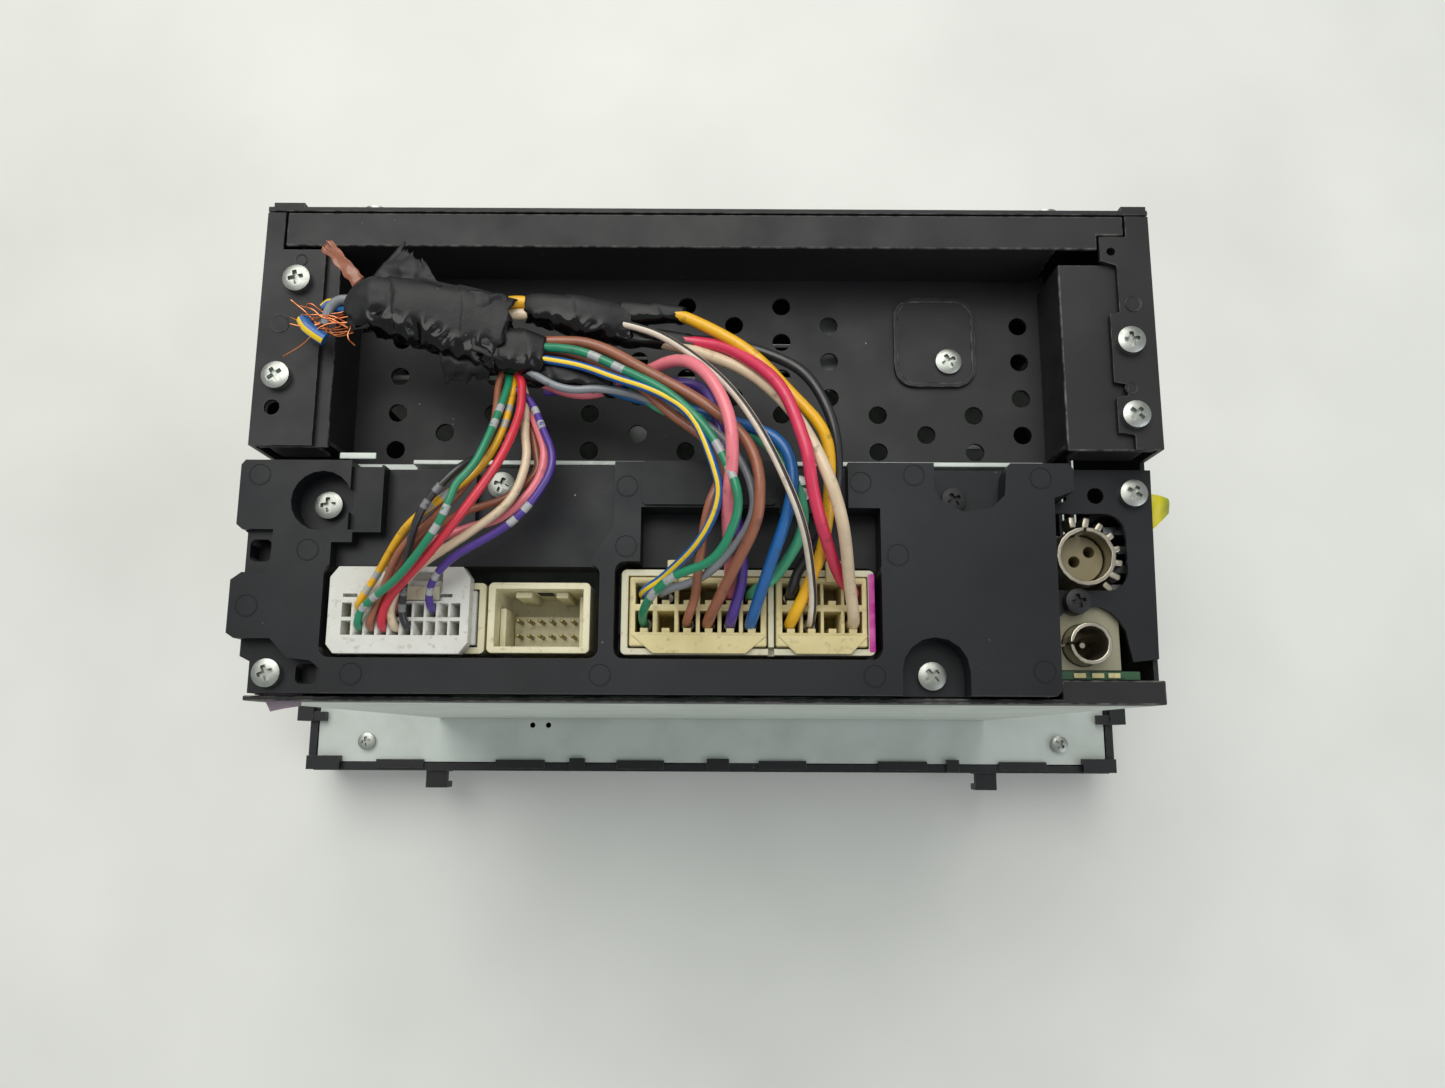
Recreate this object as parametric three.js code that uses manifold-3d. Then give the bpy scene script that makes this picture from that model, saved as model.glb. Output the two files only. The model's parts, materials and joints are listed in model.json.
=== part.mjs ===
// Double-width car radio with a disc player, resting on its front panel.
// +Z points out of its rear, +Y to its top side, and z = 0 is the rim that it rests on. Millimetres.
import * as THREE from 'three';
import { mergeVertices } from 'three/addons/utils/BufferGeometryUtils.js';
import Module from 'manifold-3d';

const wasm = await Module();
wasm.setup();

// ---- Driving dimensions ----
const HALF_W = 90; // chassis, half its width
const HALF_H = 50; // chassis, half its height
const SHEET = 1; // steel thickness
const GAP = 0.3; // clearance between pieces that meet
const REAR_Z = 176; // height of the rear flanges above the rest plane
const RECESS = 16; // depth of the rear recess
const STEP = 1.3; // how far the brackets sit under the side plates' flanges
const COVER_TOP = -2; // outer surface of the rear cover, from the rear flanges
const COVER_LOW = -5.5; // its lower level
const COVER_BACK = -12.2; // its mounting side
const CONNECTOR_BASE = -31; // inner end of the connector housings

const BEZEL_W = 264;
const BEZEL_H = 134;
const BEZEL_WALL = 2.5;
const BEZEL_RIM_Z = 21.5;
const CORNER = 2; // cut off the bezel's corners
const CLIP_X = 90; // spring clips on the bezel's top and bottom edges
const CLIP_REACH = 5.5;
const HOOK = { reach: 3.6, y0: 44.8, y1: 51.2 }; // on the bezel's sides
const EDGE_TABS = [[15.5, 31], [54.5, 70.5], [94, 109.5]]; // over the front plate's edge, left and right
const EDGE_BLOCKS = [[-46.3, -41.3], [-1.5, 5.8], [76.8, 80.8]]; // only along the lower edge
const FACE_Z = 8; // the face is sunk this far behind the rim
const FACE_BACK = 10.5;
const PLATE_Z = 20; // front plate, its lower side
const KEY_FRONT = 6.2;
const KEY_TRAVEL = 0.8;
const KNOB_R = 17;
const KNOB_X = 98;
const KNOB_Y = -18;
const DISC_Y = 36; // the plane that the disc travels in
const SLOT_HALF = 63;
const BOARD_Z = 16.8; // front circuit board

// ---- Solids ----
function solid(geometry) {
  const bare = geometry.clone();
  bare.deleteAttribute('normal');
  bare.deleteAttribute('uv');
  const merged = mergeVertices(bare, 1e-4);
  const triVerts = Uint32Array.from(merged.index.array);
  const vertProperties = Float32Array.from(merged.attributes.position.array);
  const made = new wasm.Manifold(new wasm.Mesh({ numProp: 3, vertProperties, triVerts }));
  if (made.volume() > 0) return made;
  triVerts.reverse(); // a lathe profile may run either way
  return new wasm.Manifold(new wasm.Mesh({ numProp: 3, vertProperties, triVerts }));
}

const join = (first, ...others) => others.reduce((sum, other) => sum.add(other), first);
const cut = (first, ...others) => others.reduce((rest, other) => rest.subtract(other), first);

function block(x0, x1, y0, y1, z0, z1) {
  const box = new THREE.BoxGeometry(x1 - x0, y1 - y0, z1 - z0);
  return solid(box.translate((x0 + x1) / 2, (y0 + y1) / 2, (z0 + z1) / 2));
}

function outline(points) {
  return new THREE.Shape(points.map(([x, y]) => new THREE.Vector2(x, y)));
}

function roundRect(x0, x1, y0, y1, r) {
  const shape = new THREE.Shape();
  shape.absarc(x1 - r, y0 + r, r, -Math.PI / 2, 0);
  shape.absarc(x1 - r, y1 - r, r, 0, Math.PI / 2);
  shape.absarc(x0 + r, y1 - r, r, Math.PI / 2, Math.PI);
  shape.absarc(x0 + r, y0 + r, r, Math.PI, 1.5 * Math.PI);
  return shape;
}

function chamferRect(width, height, corner) {
  const x = width / 2;
  const y = height / 2;
  return outline([
    [-x + corner, -y], [x - corner, -y], [x, -y + corner], [x, y - corner],
    [x - corner, y], [-x + corner, y], [-x, y - corner], [-x, -y + corner],
  ]);
}

// A flat piece with its outline in X and Y.
function plate(shape, z0, z1) {
  const geometry = new THREE.ExtrudeGeometry(shape, { depth: z1 - z0, bevelEnabled: false, curveSegments: 4 });
  return solid(geometry.translate(0, 0, z0));
}

function drum(x, y, z0, z1, radius, sides = 16) {
  const cylinder = new THREE.CylinderGeometry(radius, radius, z1 - z0, sides);
  return solid(cylinder.rotateX(Math.PI / 2).translate(x, y, (z0 + z1) / 2));
}

// A turned piece: its profile is a list of [radius, height], its axis is Z.
function turned(profile, sides = 24) {
  const points = profile.map(([r, z]) => new THREE.Vector2(r, z));
  return solid(new THREE.LatheGeometry(points, sides).rotateX(Math.PI / 2));
}

// A round cord along a smooth route.
function cord(route, radius, steps) {
  const path = new THREE.CatmullRomCurve3(route.map((p) => new THREE.Vector3(...p)), false, 'centripetal');
  const section = new THREE.Shape();
  section.absarc(0, 0, radius, 0, 2 * Math.PI);
  const settings = { steps, extrudePath: path, bevelEnabled: false, curveSegments: 8 };
  return solid(new THREE.ExtrudeGeometry(section, settings));
}

// ---- Materials ----
function finish(color, roughness, metalness) {
  return new THREE.MeshStandardMaterial({ color, roughness, metalness });
}
const blackSteel = finish(0x3a3b3f, 0.45, 0.5);
const zincSteel = finish(0xb5bcb4, 0.4, 0.8);
const tinPlate = finish(0xc9c3b0, 0.3, 0.9);
const blackPlastic = finish(0x2e3136, 0.5, 0);
const facePlastic = finish(0x24262a, 0.4, 0);
const silverPlastic = finish(0x9a9da1, 0.35, 0.3);
const smokedLens = finish(0x101418, 0.08, 0);
const creamNylon = finish(0xd6d0aa, 0.5, 0);
const whiteNylon = finish(0xebebe1, 0.45, 0);
const circuitBoard = finish(0x2c5a3a, 0.5, 0);
const rubber = finish(0x17171a, 0.8, 0);
const tape = finish(0x1f1f23, 0.35, 0);
const wire = finish(0x8a5a44, 0.45, 0);
const yellowFilm = finish(0xd8cc2a, 0.5, 0);
const aluminium = finish(0xb8babd, 0.35, 0.9);

const radio = new THREE.Group();
const rear = new THREE.Group();
rear.position.z = REAR_Z;
radio.add(rear);

function part(name, shape, material, group = radio, x = 0, y = 0) {
  const { vertProperties, triVerts } = shape.getMesh();
  const geometry = new THREE.BufferGeometry();
  geometry.setAttribute('position', new THREE.BufferAttribute(vertProperties, 3));
  geometry.setIndex(new THREE.BufferAttribute(triVerts, 1));
  geometry.computeVertexNormals();
  const mesh = new THREE.Mesh(geometry, material);
  mesh.name = name;
  mesh.position.set(x, y, 0);
  group.add(mesh);
}

// ---- Front panel: bezel, face openings, clips ----
const KEY_W = 17.5;
const KEY_H = 9;
const KEY_PITCH = 19.5;
const ROCKER_W = KEY_W + KEY_PITCH;
const PRESET_Y = -9;
const SOURCE_Y = -27;
const keys = [];
for (let i = 0; i < 6; i += 1) keys.push([`preset_key_${i + 1}`, (2.5 - i) * KEY_PITCH, PRESET_Y]);
['am_key', 'fm_key', 'aux_key', 'disc_key'].forEach((name, i) => {
  keys.push([name, (2.5 - i) * KEY_PITCH, SOURCE_Y]);
});
keys.push(['load_key', 80, DISC_Y], ['eject_key', -80, DISC_Y]);
const ROCKER_X = -2 * KEY_PITCH;

const LENS = { x: 58, y0: 3, y1: 26 };

function window(x, y, width, height) {
  const w = width / 2 + 0.35;
  const h = height / 2 + 0.35;
  return block(x - w, x + w, y - h, y + h, FACE_Z - 1, FACE_BACK + 1);
}

const OVER_PLATE = BEZEL_RIM_Z - 0.2; // lower side of what reaches over the front plate
const ordered = (a, b) => [Math.min(a, b), Math.max(a, b)];

// Around one corner of the bezel: tabs along the edge, a corner block and a side hook.
function edgePieces(side, edge) {
  const wallX = side * BEZEL_W / 2;
  const wallY = edge * BEZEL_H / 2;
  const tabDepth = ordered(wallY - edge * 0.8, wallY - edge * 3.6);
  const tabs = EDGE_TABS.map(([x0, x1]) => block(...ordered(side * x0, side * x1), ...tabDepth, OVER_PLATE, 22.3));
  const cornerX = ordered(wallX - side * 0.3, wallX - side * 11);
  const cornerY = ordered(wallY - edge * 0.3, wallY - edge * 4.7);
  const hookX = ordered(wallX - side * 1.5, wallX + side * HOOK.reach);
  const hookFootX = ordered(wallX - side * 5.5, wallX - side * 0.5);
  const hookY = ordered(edge * HOOK.y0, edge * HOOK.y1);
  const hookFootY = ordered(edge * HOOK.y1, edge * (HOOK.y1 - 3));
  return [
    ...tabs,
    block(...cornerX, ...cornerY, OVER_PLATE, 24),
    block(...hookX, ...hookY, 14, 24),
    block(...hookFootX, ...hookFootY, OVER_PLATE, 23.5),
  ];
}

function bezel() {
  const inner = BEZEL_WALL * 2;
  let body = cut(
    plate(chamferRect(BEZEL_W, BEZEL_H, CORNER), 0, BEZEL_RIM_Z),
    plate(chamferRect(BEZEL_W - inner, BEZEL_H - inner, CORNER - 1), FACE_BACK, BEZEL_RIM_Z + 1),
    plate(chamferRect(BEZEL_W - inner - 3, BEZEL_H - inner - 3, CORNER - 1), -1, FACE_Z),
    block(-LENS.x, LENS.x, LENS.y0, LENS.y1, FACE_Z - 1, FACE_BACK + 1),
    block(-SLOT_HALF, SLOT_HALF, DISC_Y - 2.5, DISC_Y + 2.5, FACE_Z - 1, FACE_BACK + 1),
    window(ROCKER_X, SOURCE_Y, ROCKER_W, KEY_H),
    ...keys.map(([, x, y]) => window(x, y, KEY_W, KEY_H)),
  );
  for (const side of [-1, 1]) {
    const dish = drum(side * KNOB_X, KNOB_Y, FACE_Z - 1, FACE_Z + 1.3, KNOB_R + 1, 32);
    const shaftHole = drum(side * KNOB_X, KNOB_Y, FACE_Z, FACE_BACK + 1, 4);
    body = cut(body, dish, shaftHole);
    for (const edge of [-1, 1]) {
      const wallY = edge * BEZEL_H / 2;
      const clipX = side * CLIP_X;
      const reach = ordered(wallY - edge * 0.5, wallY + edge * CLIP_REACH);
      const clip = block(clipX - 3.5, clipX + 3.5, ...reach, 13, 20);
      const relief = ordered(wallY + edge * 0.4, wallY + edge * (CLIP_REACH - 2));
      body = join(body, cut(clip, block(clipX - 4, clipX + 4, ...relief, 12, 18)), ...edgePieces(side, edge));
    }
  }
  const lowEdge = -BEZEL_H / 2;
  return join(body, ...EDGE_BLOCKS.map(([x0, x1]) => block(x0, x1, lowEdge + 0.3, lowEdge + 4.2, OVER_PLATE, 23)));
}
part('front_bezel', bezel(), facePlastic);

const lens = block(-LENS.x + GAP, LENS.x - GAP, LENS.y0 + GAP, LENS.y1 - GAP, FACE_Z - 0.4, FACE_BACK);
part('display_lens', lens, smokedLens);
part('lcd_module', block(-60, 60, LENS.y0 - 1, LENS.y1 + 2, FACE_BACK + GAP, BOARD_Z - GAP), silverPlastic);
part('front_board', block(-112, 112, -38, 29, BOARD_Z, BOARD_Z + 1.4), circuitBoard);

function frontPlate() {
  const inset = 2 * (BEZEL_WALL + GAP);
  const sheet = plate(chamferRect(BEZEL_W - inset, BEZEL_H - inset, CORNER - 1), PLATE_Z, PLATE_Z + SHEET);
  const through = block(-SLOT_HALF - 3, SLOT_HALF + 3, DISC_Y - 6, DISC_Y + 6, PLATE_Z - 1, PLATE_Z + 2);
  const lead = block(-40, 40, -30, -22, PLATE_Z - 1, PLATE_Z + 2);
  const hole = (x, y, radius) => drum(x, y, PLATE_Z - 1, PLATE_Z + 2, radius, 12);
  const fixings = [-122, 122].flatMap((x) => [-40, 40].map((y) => hole(x, y, 2.2)));
  return cut(sheet, through, lead, ...fixings, hole(-59, -52.2, 0.9), hole(-53.8, -52.2, 0.9));
}
part('front_plate', frontPlate(), zincSteel);

// ---- Keys: a cap, a flange that holds it behind the face, and a stem that reaches its switch ----
function keyShape(width) {
  const w = width / 2;
  const h = KEY_H / 2;
  return join(
    block(-w, w, -h, h, KEY_FRONT, FACE_BACK + 0.8),
    block(-w - 0.8, w + 0.8, -h - 0.8, h + 0.8, FACE_BACK + GAP, 12),
    block(-2, 2, -2, 2, 11, BOARD_Z - KEY_TRAVEL - 0.4),
  );
}
for (const [name, x, y] of keys) part(name, keyShape(KEY_W), silverPlastic, radio, x, y);

function rockerShape() {
  const w = ROCKER_W / 2;
  const h = KEY_H / 2;
  const pads = [-14, 14].map((x) => block(x - 2, x + 2, -2, 2, 10, 14));
  return join(
    block(-w, w, -h, h, KEY_FRONT, FACE_BACK + GAP),
    block(-2, 2, -h - 1.2, h + 1.2, FACE_BACK + GAP + 0.1, 12),
    block(-2, 2, -h, h, 10, 12),
    ...pads,
  );
}
part('seek_rocker', rockerShape(), silverPlastic, radio, ROCKER_X, SOURCE_Y);

// ---- Knobs on pushing encoders ----
const knob = turned([
  [0, 1.6], [9, 1.6], [11, 0.8], [15.5, 0.8], [KNOB_R, 2.4], [KNOB_R, FACE_Z],
  [5, FACE_Z], [3, FACE_Z + 0.4], [3, 14.2], [0, 14.2],
], 32);
const encoder = cut(block(-6.5, 6.5, -6.5, 6.5, FACE_BACK + GAP, BOARD_Z - GAP), drum(0, 0, 10, 15.6, 4.6));
const collar = cut(drum(0, 0, 11.8, 13.6, 4.2), drum(0, 0, 11, 14, 3.4));
for (const [side, word] of [[1, 'volume'], [-1, 'tune']]) {
  part(`${word}_knob`, knob, facePlastic, radio, side * KNOB_X, KNOB_Y);
  part(`${word}_collar`, collar, aluminium, radio, side * KNOB_X, KNOB_Y);
  part(`${word}_encoder`, encoder, aluminium, radio, side * KNOB_X, KNOB_Y);
}

// ---- Disc slot door ----
const flap = block(-SLOT_HALF - 1, SLOT_HALF + 1, DISC_Y - 3.3, DISC_Y + 4, FACE_BACK + 0.4, FACE_BACK + 1.2);
part('slot_flap', flap, rubber);

// ---- Disc mechanism, behind the rear recess and above the main board ----
const TRAY_Y = 22;
const SPINDLE_Z = 95;
const tray = join(
  block(-78, 78, TRAY_Y, TRAY_Y + SHEET, 30, 150),
  block(-78, -77, TRAY_Y, TRAY_Y + 12, 30, 150),
  block(77, 78, TRAY_Y, TRAY_Y + 12, 30, 150),
);
part('disc_tray_frame', tray, zincSteel);

function rollerShape() {
  const profile = [[0, -68], [1.5, -68], [1.5, -60], [4, -60], [3.4, 0], [4, 60], [1.5, 60], [1.5, 68], [0, 68]];
  const along = turned(profile, 16);
  return along.rotate([0, 90, 0]).translate([0, DISC_Y - 5.5, 40]);
}
part('feed_roller', rollerShape(), rubber);

function turntableShape() {
  const upright = turned([[0, 0], [2, 0], [2, 6], [14, 6], [14, 8], [7.4, 8], [7.4, 9.4], [5, 11], [0, 11]], 24);
  return upright.rotate([-90, 0, 0]).translate([0, TRAY_Y + 1.4, SPINDLE_Z]);
}
part('turntable', turntableShape(), facePlastic);
const sled = join(
  block(18, 44, TRAY_Y + 2, TRAY_Y + 6, SPINDLE_Z - 12, SPINDLE_Z + 12),
  block(20, 28, TRAY_Y + 5, TRAY_Y + 7, SPINDLE_Z - 4, SPINDLE_Z + 4),
);
part('laser_sled', sled, facePlastic);
const rod = new THREE.CylinderGeometry(1.5, 1.5, 60, 12).rotateZ(Math.PI / 2);
part('sled_rod', solid(rod.translate(46, TRAY_Y + 4, SPINDLE_Z - 14.5)), aluminium);

// ---- Chassis: two side plates, top and bottom covers ----
const FLOOR_Z = BEZEL_RIM_Z + GAP;

// A side plate with its rear flange, for the right side.
function sidePlate(endLow, flange) {
  const profile = outline([
    [-HALF_H + 1.3, FLOOR_Z], [HALF_H - 1.3, FLOOR_Z], [HALF_H - 1.3, REAR_Z],
    [-0.6, REAR_Z], [-0.6, REAR_Z + endLow], [-HALF_H + 1.3, REAR_Z + endLow],
  ]);
  const wall = new THREE.ExtrudeGeometry(profile, { depth: SHEET, bevelEnabled: false });
  wall.rotateX(Math.PI / 2).rotateZ(Math.PI / 2);
  const upright = solid(wall);
  const box = upright.boundingBox();
  const placed = upright.translate([HALF_W - SHEET - box.min[0], 0, 0]);
  const holes = [];
  for (const z of [60, 130]) {
    for (const y of [-30, 30]) {
      const bore = new THREE.CylinderGeometry(2.6, 2.6, 4, 12).rotateZ(Math.PI / 2);
      holes.push(solid(bore.translate(HALF_W, y, z)));
    }
  }
  for (let i = 0; i < 6; i += 1) {
    holes.push(block(HALF_W - 3, HALF_W + 3, -12, 12, 76 + i * 9, 80 + i * 9));
  }
  return join(cut(placed, ...holes), plate(flange, REAR_Z - SHEET, REAR_Z));
}
// The left flange, drawn on the right side and mirrored with its plate.
const leftFlange = outline([
  [HALF_W, 5], [89.2, 5], [89.2, 10], [HALF_W, 10], [HALF_W, 48.7],
  [86.3, 48.7], [86.3, 40.6], [77.5, 40.6], [77.5, -0.6], [HALF_W, -0.6],
]);
const rightFlange = outline([
  [HALF_W, -0.6], [HALF_W, 48.7], [85.2, 48.7], [85.2, 44.2], [79.7, 44.2], [79.7, 39], [83, 38], [83, 28],
  [81, 27.5], [81, 13.2], [83.6, 12.8], [83.6, 10.5], [81.3, 10], [81.3, 2.8], [84.5, 2.4], [84.5, -0.6],
]);
const flangeHole = drum(82, 41, REAR_Z - 3, REAR_Z + 1, 0.9, 10);
const cornerHole = drum(-86, 7.2, REAR_Z - 3, REAR_Z + 1, 1.6, 12);
const leftPlate = sidePlate(COVER_BACK - GAP, leftFlange).mirror([1, 0, 0]);
part('side_plate_left', cut(leftPlate, cornerHole), blackSteel);
part('side_plate_right', cut(sidePlate(-10.3, rightFlange), flangeHole), blackSteel);

function slottedCover(y0, y1, z0, z1, rows) {
  const slots = [];
  for (const z of rows) {
    for (let i = -3; i <= 3; i += 1) slots.push(block(i * 22 - 8, i * 22 + 8, y0 - 1, y1 + 1, z, z + 2.4));
  }
  return cut(block(-HALF_W, HALF_W, y0, y1, z0, z1), ...slots);
}
const hook = (x0, x1) => block(x0, x1, HALF_H - 0.5, HALF_H + 0.9, REAR_Z - 7, REAR_Z);
const topCover = slottedCover(HALF_H - SHEET, HALF_H, FLOOR_Z, REAR_Z, [70, 80, 90, 100]);
part('top_cover', join(topCover, hook(-88.9, -82.6), hook(84.5, 89.7)), blackSteel);
const bottomCover = slottedCover(-HALF_H, -HALF_H + SHEET, FLOOR_Z, REAR_Z - 15.3, [60, 70, 80, 140, 150]);
part('bottom_cover', bottomCover, zincSteel);

// ---- Rear of the upper half: rail, brackets, recess ----
function topRail() {
  const face = outline([[-85.9, 41.4], [79.3, 41.4], [79.3, 44.5], [84.8, 44.5], [84.8, 48.7], [-85.9, 48.7]]);
  return join(
    plate(face, -SHEET, 0),
    block(-75.5, 71, 41.4, 42.4, -RECESS + GAP, -0.5),
    block(-70, 70, 47.7, 48.7, -14, -0.5),
  );
}
part('top_rail', topRail(), blackSteel, rear);

// A folded bracket: a face under the side plate's flange, a wall down into the recess, and a foot at the bottom.
function bracket(x0, x1, wallX, y1) {
  return join(
    block(x0, x1, -0.6, y1, -STEP - SHEET, -STEP),
    block(wallX, wallX + SHEET, 0.6, y1, -RECESS + GAP, -STEP),
    block(x0 + 2, x1 - 2, -0.6, 0.4, -9, -STEP),
  );
}
const leftBracket = cut(bracket(-88.7, -74.8, -75.8, 40.6), drum(-86, 7.2, -4, 1, 1.6, 12));
part('rear_bracket_left', leftBracket, blackSteel, rear);
part('rear_bracket_right', bracket(71.4, 88.7, 71.4, 38.7), blackSteel, rear);

const PAD = { x0: 40, x1: 57.2, y0: 17.3, y1: 37.2 };
function recessPlate() {
  const HOLE_R = 2;
  const COLUMN_PITCH = 10.22;
  const ROW_PITCH = 8.13;
  const HOLES_IN_COLUMN = [4, 2, 1, 2, 4, 5, 4, 5, 4, 5, 1, 5, 1, 5]; // from the right; each starts at the bottom
  const sheet = block(-76.4, 73, -0.6, 42.6, -RECESS - SHEET, -RECESS);
  const holes = [];
  HOLES_IN_COLUMN.forEach((count, column) => {
    const lowest = column % 2 === 1 ? 3 : 6.8;
    for (let row = 0; row < count; row += 1) {
      const y = lowest + row * ROW_PITCH;
      holes.push(drum(66.9 - column * COLUMN_PITCH, y, -RECESS - 2, -RECESS + 1, HOLE_R, 12));
    }
  });
  const ring = plate(roundRect(PAD.x0, PAD.x1, PAD.y0, PAD.y1, 4), -RECESS - 0.5, -RECESS + 0.8);
  return join(cut(sheet, ...holes), ring);
}
part('recess_plate', recessPlate(), blackSteel, rear);

// ---- Rear of the lower half: steel wall, plastic cover, lip ----
const LEFT_OPENING = [-74, -20.5, -41.9, -23.6];
const RIGHT_OPENING = [-17.6, 34.2, -41.9, -23];
const ANTENNA_X = 69; // the cover ends and the antenna plate starts here

function lowerRearWall() {
  const sheet = block(-88.6, 68.8, -48.5, -1, -13.6, -12.6);
  const lip = block(-60, 68.8, -2, -1, -13, -9);
  const windows = [LEFT_OPENING, RIGHT_OPENING].map(([x0, x1, y0, y1]) => {
    return block(x0, x1, y0 - 3, y1 + 1, -15, -12);
  });
  return cut(join(sheet, lip), ...windows);
}
part('lower_rear_wall', lowerRearWall(), zincSteel, rear);

function rearCover() {
  const edge = outline([
    [-91, -3], [-70, -3], [-70, -4], [-46, -4], [-46, -3], [71.5, -3], [72.5, -4], [72.5, -8.5], [ANTENNA_X - 0.5, -10],
    [ANTENNA_X - 0.8, -47.6], [ANTENNA_X - 1.8, -48.6], [-88.5, -48.6], [-88.5, -42.5], [-90.5, -41.5],
    [-90.5, -38.3], [-92, -37.3], [-92, -27], [-90, -25.5], [-90, -17.5], [-91.8, -16], [-91.8, -4],
  ]);
  const high = COVER_TOP + 1;
  const leftRecess = outline([
    [-63.5, 0], [-18, 0], [-18, -16], [-22, -22.5], [-22, -24], [-73, -24], [-73, -19.5], [-69, -19.5],
    [-69, -17.5], [-63.5, -17.5],
  ]);
  const screwCorner = outline([
    [-95, -38.3], [-83.5, -38.3], [-80, -42], [-75.5, -42.5], [-73.5, -44], [-73.5, -52], [-95, -52],
  ]);
  const arch = new THREE.Shape();
  arch.absarc(44.3, -44, 6.5, 0, Math.PI);
  arch.lineTo(37.8, -52);
  arch.lineTo(50.8, -52);
  const scallop = outline([
    [45, 0], [45, -8.5], [46.5, -11], [51, -13], [56, -12.2], [58.8, -9.5], [59.2, -5], [61.5, 0],
  ]);
  const upperRecess = block(-12.7, RIGHT_OPENING[1], RIGHT_OPENING[3] - 1, -12.2, -9.5, high);
  const pocket = block(-46, -35, -16.5, 0, -8, high);
  const boltPocket = block(14.5, 28, -12.2, 0, -7, high);
  const through = [LEFT_OPENING, RIGHT_OPENING].map(([x0, x1, y0, y1]) => {
    return plate(roundRect(x0, x1, y0, y1, 2), COVER_BACK - 1, high);
  });
  const body = cut(
    plate(edge, COVER_BACK, COVER_TOP),
    plate(leftRecess, COVER_LOW, high),
    plate(screwCorner, COVER_LOW, high),
    plate(arch, -8, high),
    plate(scallop, -8, high),
    drum(-75.5, -11.2, -7, high, 6, 20),
    block(-70, -64, -17, 0, -3.5, high),
    block(-92, -84.5, -25.5, -17, -3.5, high),
    plate(roundRect(-89.3, -85.2, -23.2, -18.8, 1), -8, high),
    plate(roundRect(-79.4, -75.4, -46.8, -42.9, 0.9), -9, high),
    upperRecess, pocket, boltPocket, ...through,
  );
  return join(body, plate(roundRect(-12.5, 13.8, -11.8, -3, 1), COVER_TOP - 0.5, COVER_TOP + 0.7));
}
part('rear_cover', rearCover(), blackPlastic, rear);

const lipSheet = block(-HALF_W, HALF_W, -HALF_H, -HALF_H + SHEET, -15, -7);
const lipFlange = block(69.7, HALF_W, -HALF_H, -45.3, -8, -7);
part('bottom_lip', join(lipSheet, lipFlange), blackSteel, rear);

// ---- Aerial side: plate, sockets, tuner ----
const BIG_SOCKET = { x: 75.2, y: -21, r: 5.9 };
const SMALL_SOCKET = { x: 75.2, y: -38.2, r: 4.2 };
const AERIAL_BACK = -9.6; // the aerial plate, its lower and upper side
const AERIAL_TOP = -8.6;
function antennaPlate() {
  const edge = outline([
    [73, -2.6], [90.4, -2.6], [89.6, -41], [84.5, -41.6], [83.6, -37],
    [ANTENNA_X, -37], [ANTENNA_X, -10.4], [73, -9],
  ]);
  const bigOpening = plate(roundRect(60, 84.6, -27.4, -11.7, 4.2), AERIAL_BACK - 1, AERIAL_TOP + 1);
  const smallOpening = join(drum(76, -38, -12, -6, 7.8, 20), block(66, 83, -45, -38, -12, -6));
  const smallHole = drum(78.9, -8, -12, -6, 1.7, 12);
  const sheet = cut(plate(edge, AERIAL_BACK, AERIAL_TOP), bigOpening, smallOpening, smallHole);
  const post = drum(73.6, -29.8, AERIAL_BACK, -7.5, 2.6);
  return join(sheet, post, block(70, 88, -30.7, -29.2, AERIAL_BACK, AERIAL_TOP));
}
part('antenna_plate', antennaPlate(), blackPlastic, rear);
for (const [name, socket] of [['antenna_socket_large', BIG_SOCKET], ['antenna_socket_small', SMALL_SOCKET]]) {
  const bore = drum(socket.x, socket.y, -28, 0, socket.r - 0.9, 20);
  part(name, cut(drum(socket.x, socket.y, -30.7, -5, socket.r, 20), bore), tinPlate, rear);
}
function insulatorShape() {
  const bore = (x, y) => drum(BIG_SOCKET.x + x, BIG_SOCKET.y + y, -24, -8, 1.15, 12);
  return cut(drum(BIG_SOCKET.x, BIG_SOCKET.y, -27.5, -9.4, 4.8, 20), bore(2, 1.5), bore(-1.1, -0.5));
}
part('antenna_insulator', insulatorShape(), creamNylon, rear);
part('tuner_can', block(69.5, 87, -42.8, -12, -60, -31), tinPlate, rear);
const fins = [0, 1, 2, 3, 4].map((i) => block(82, 88, -27 + i * 4, -25.4 + i * 4, -29, -14));
part('heat_sink', join(block(82, 88, -27, -9.4, -30.7, -28.5), ...fins), aluminium, rear);
const board = join(block(-86, 86, -45, -43.4, -150, -14), block(ANTENNA_X + GAP, 86, -45, -43.4, -15, -9.6));
part('main_board', board, circuitBoard, rear);

// ---- Connectors: housings on the board, plugs in the housings ----
function housing(x0, x1, y0, y1, rim, cavities) {
  const body = join(
    plate(roundRect(x0, x1, y0, y1, 1), CONNECTOR_BASE, rim),
    block(x0 + 1, x1 - 1, -43.1, y0 + 1, CONNECTOR_BASE, -15),
  );
  return cut(body, ...cavities.map(([a, b]) => block(a, b, y0 + 1.3, y1 - 1.3, -21, rim + 1)));
}
part('header_20way', housing(-71.3, -42.9, -40.9, -27, -4.9, [[-69.9, -44.3]]), creamNylon, rear);
part('header_12way', housing(-42.3, -22.4, -40.8, -27, -4, [[-40.9, -23.8]]), creamNylon, rear);
part('header_double', housing(-16.4, 33, -41, -24.3, -4, [[-15, 12.2], [13.4, 31.7]]), creamNylon, rear);

const headShape = outline([
  [-71, -41.2], [-47, -41.2], [-45.3, -39], [-45.3, -26.5],
  [-46.8, -24.4], [-70.8, -24.4], [-72.4, -26.5], [-72.4, -39.5],
]);
const whitePlug = join(block(-69.6, -44.6, -39.2, -28.7, -19, -4), plate(headShape, -4.6, -1.2));
part('plug_20way', whitePlug, whiteNylon, rear);
part('plug_6column', block(-14.7, 11.9, -39.4, -25.9, -20, -3.2), creamNylon, rear);
part('plug_4column', block(13.7, 31.4, -39.4, -25.9, -20, -3.2), creamNylon, rear);

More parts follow.
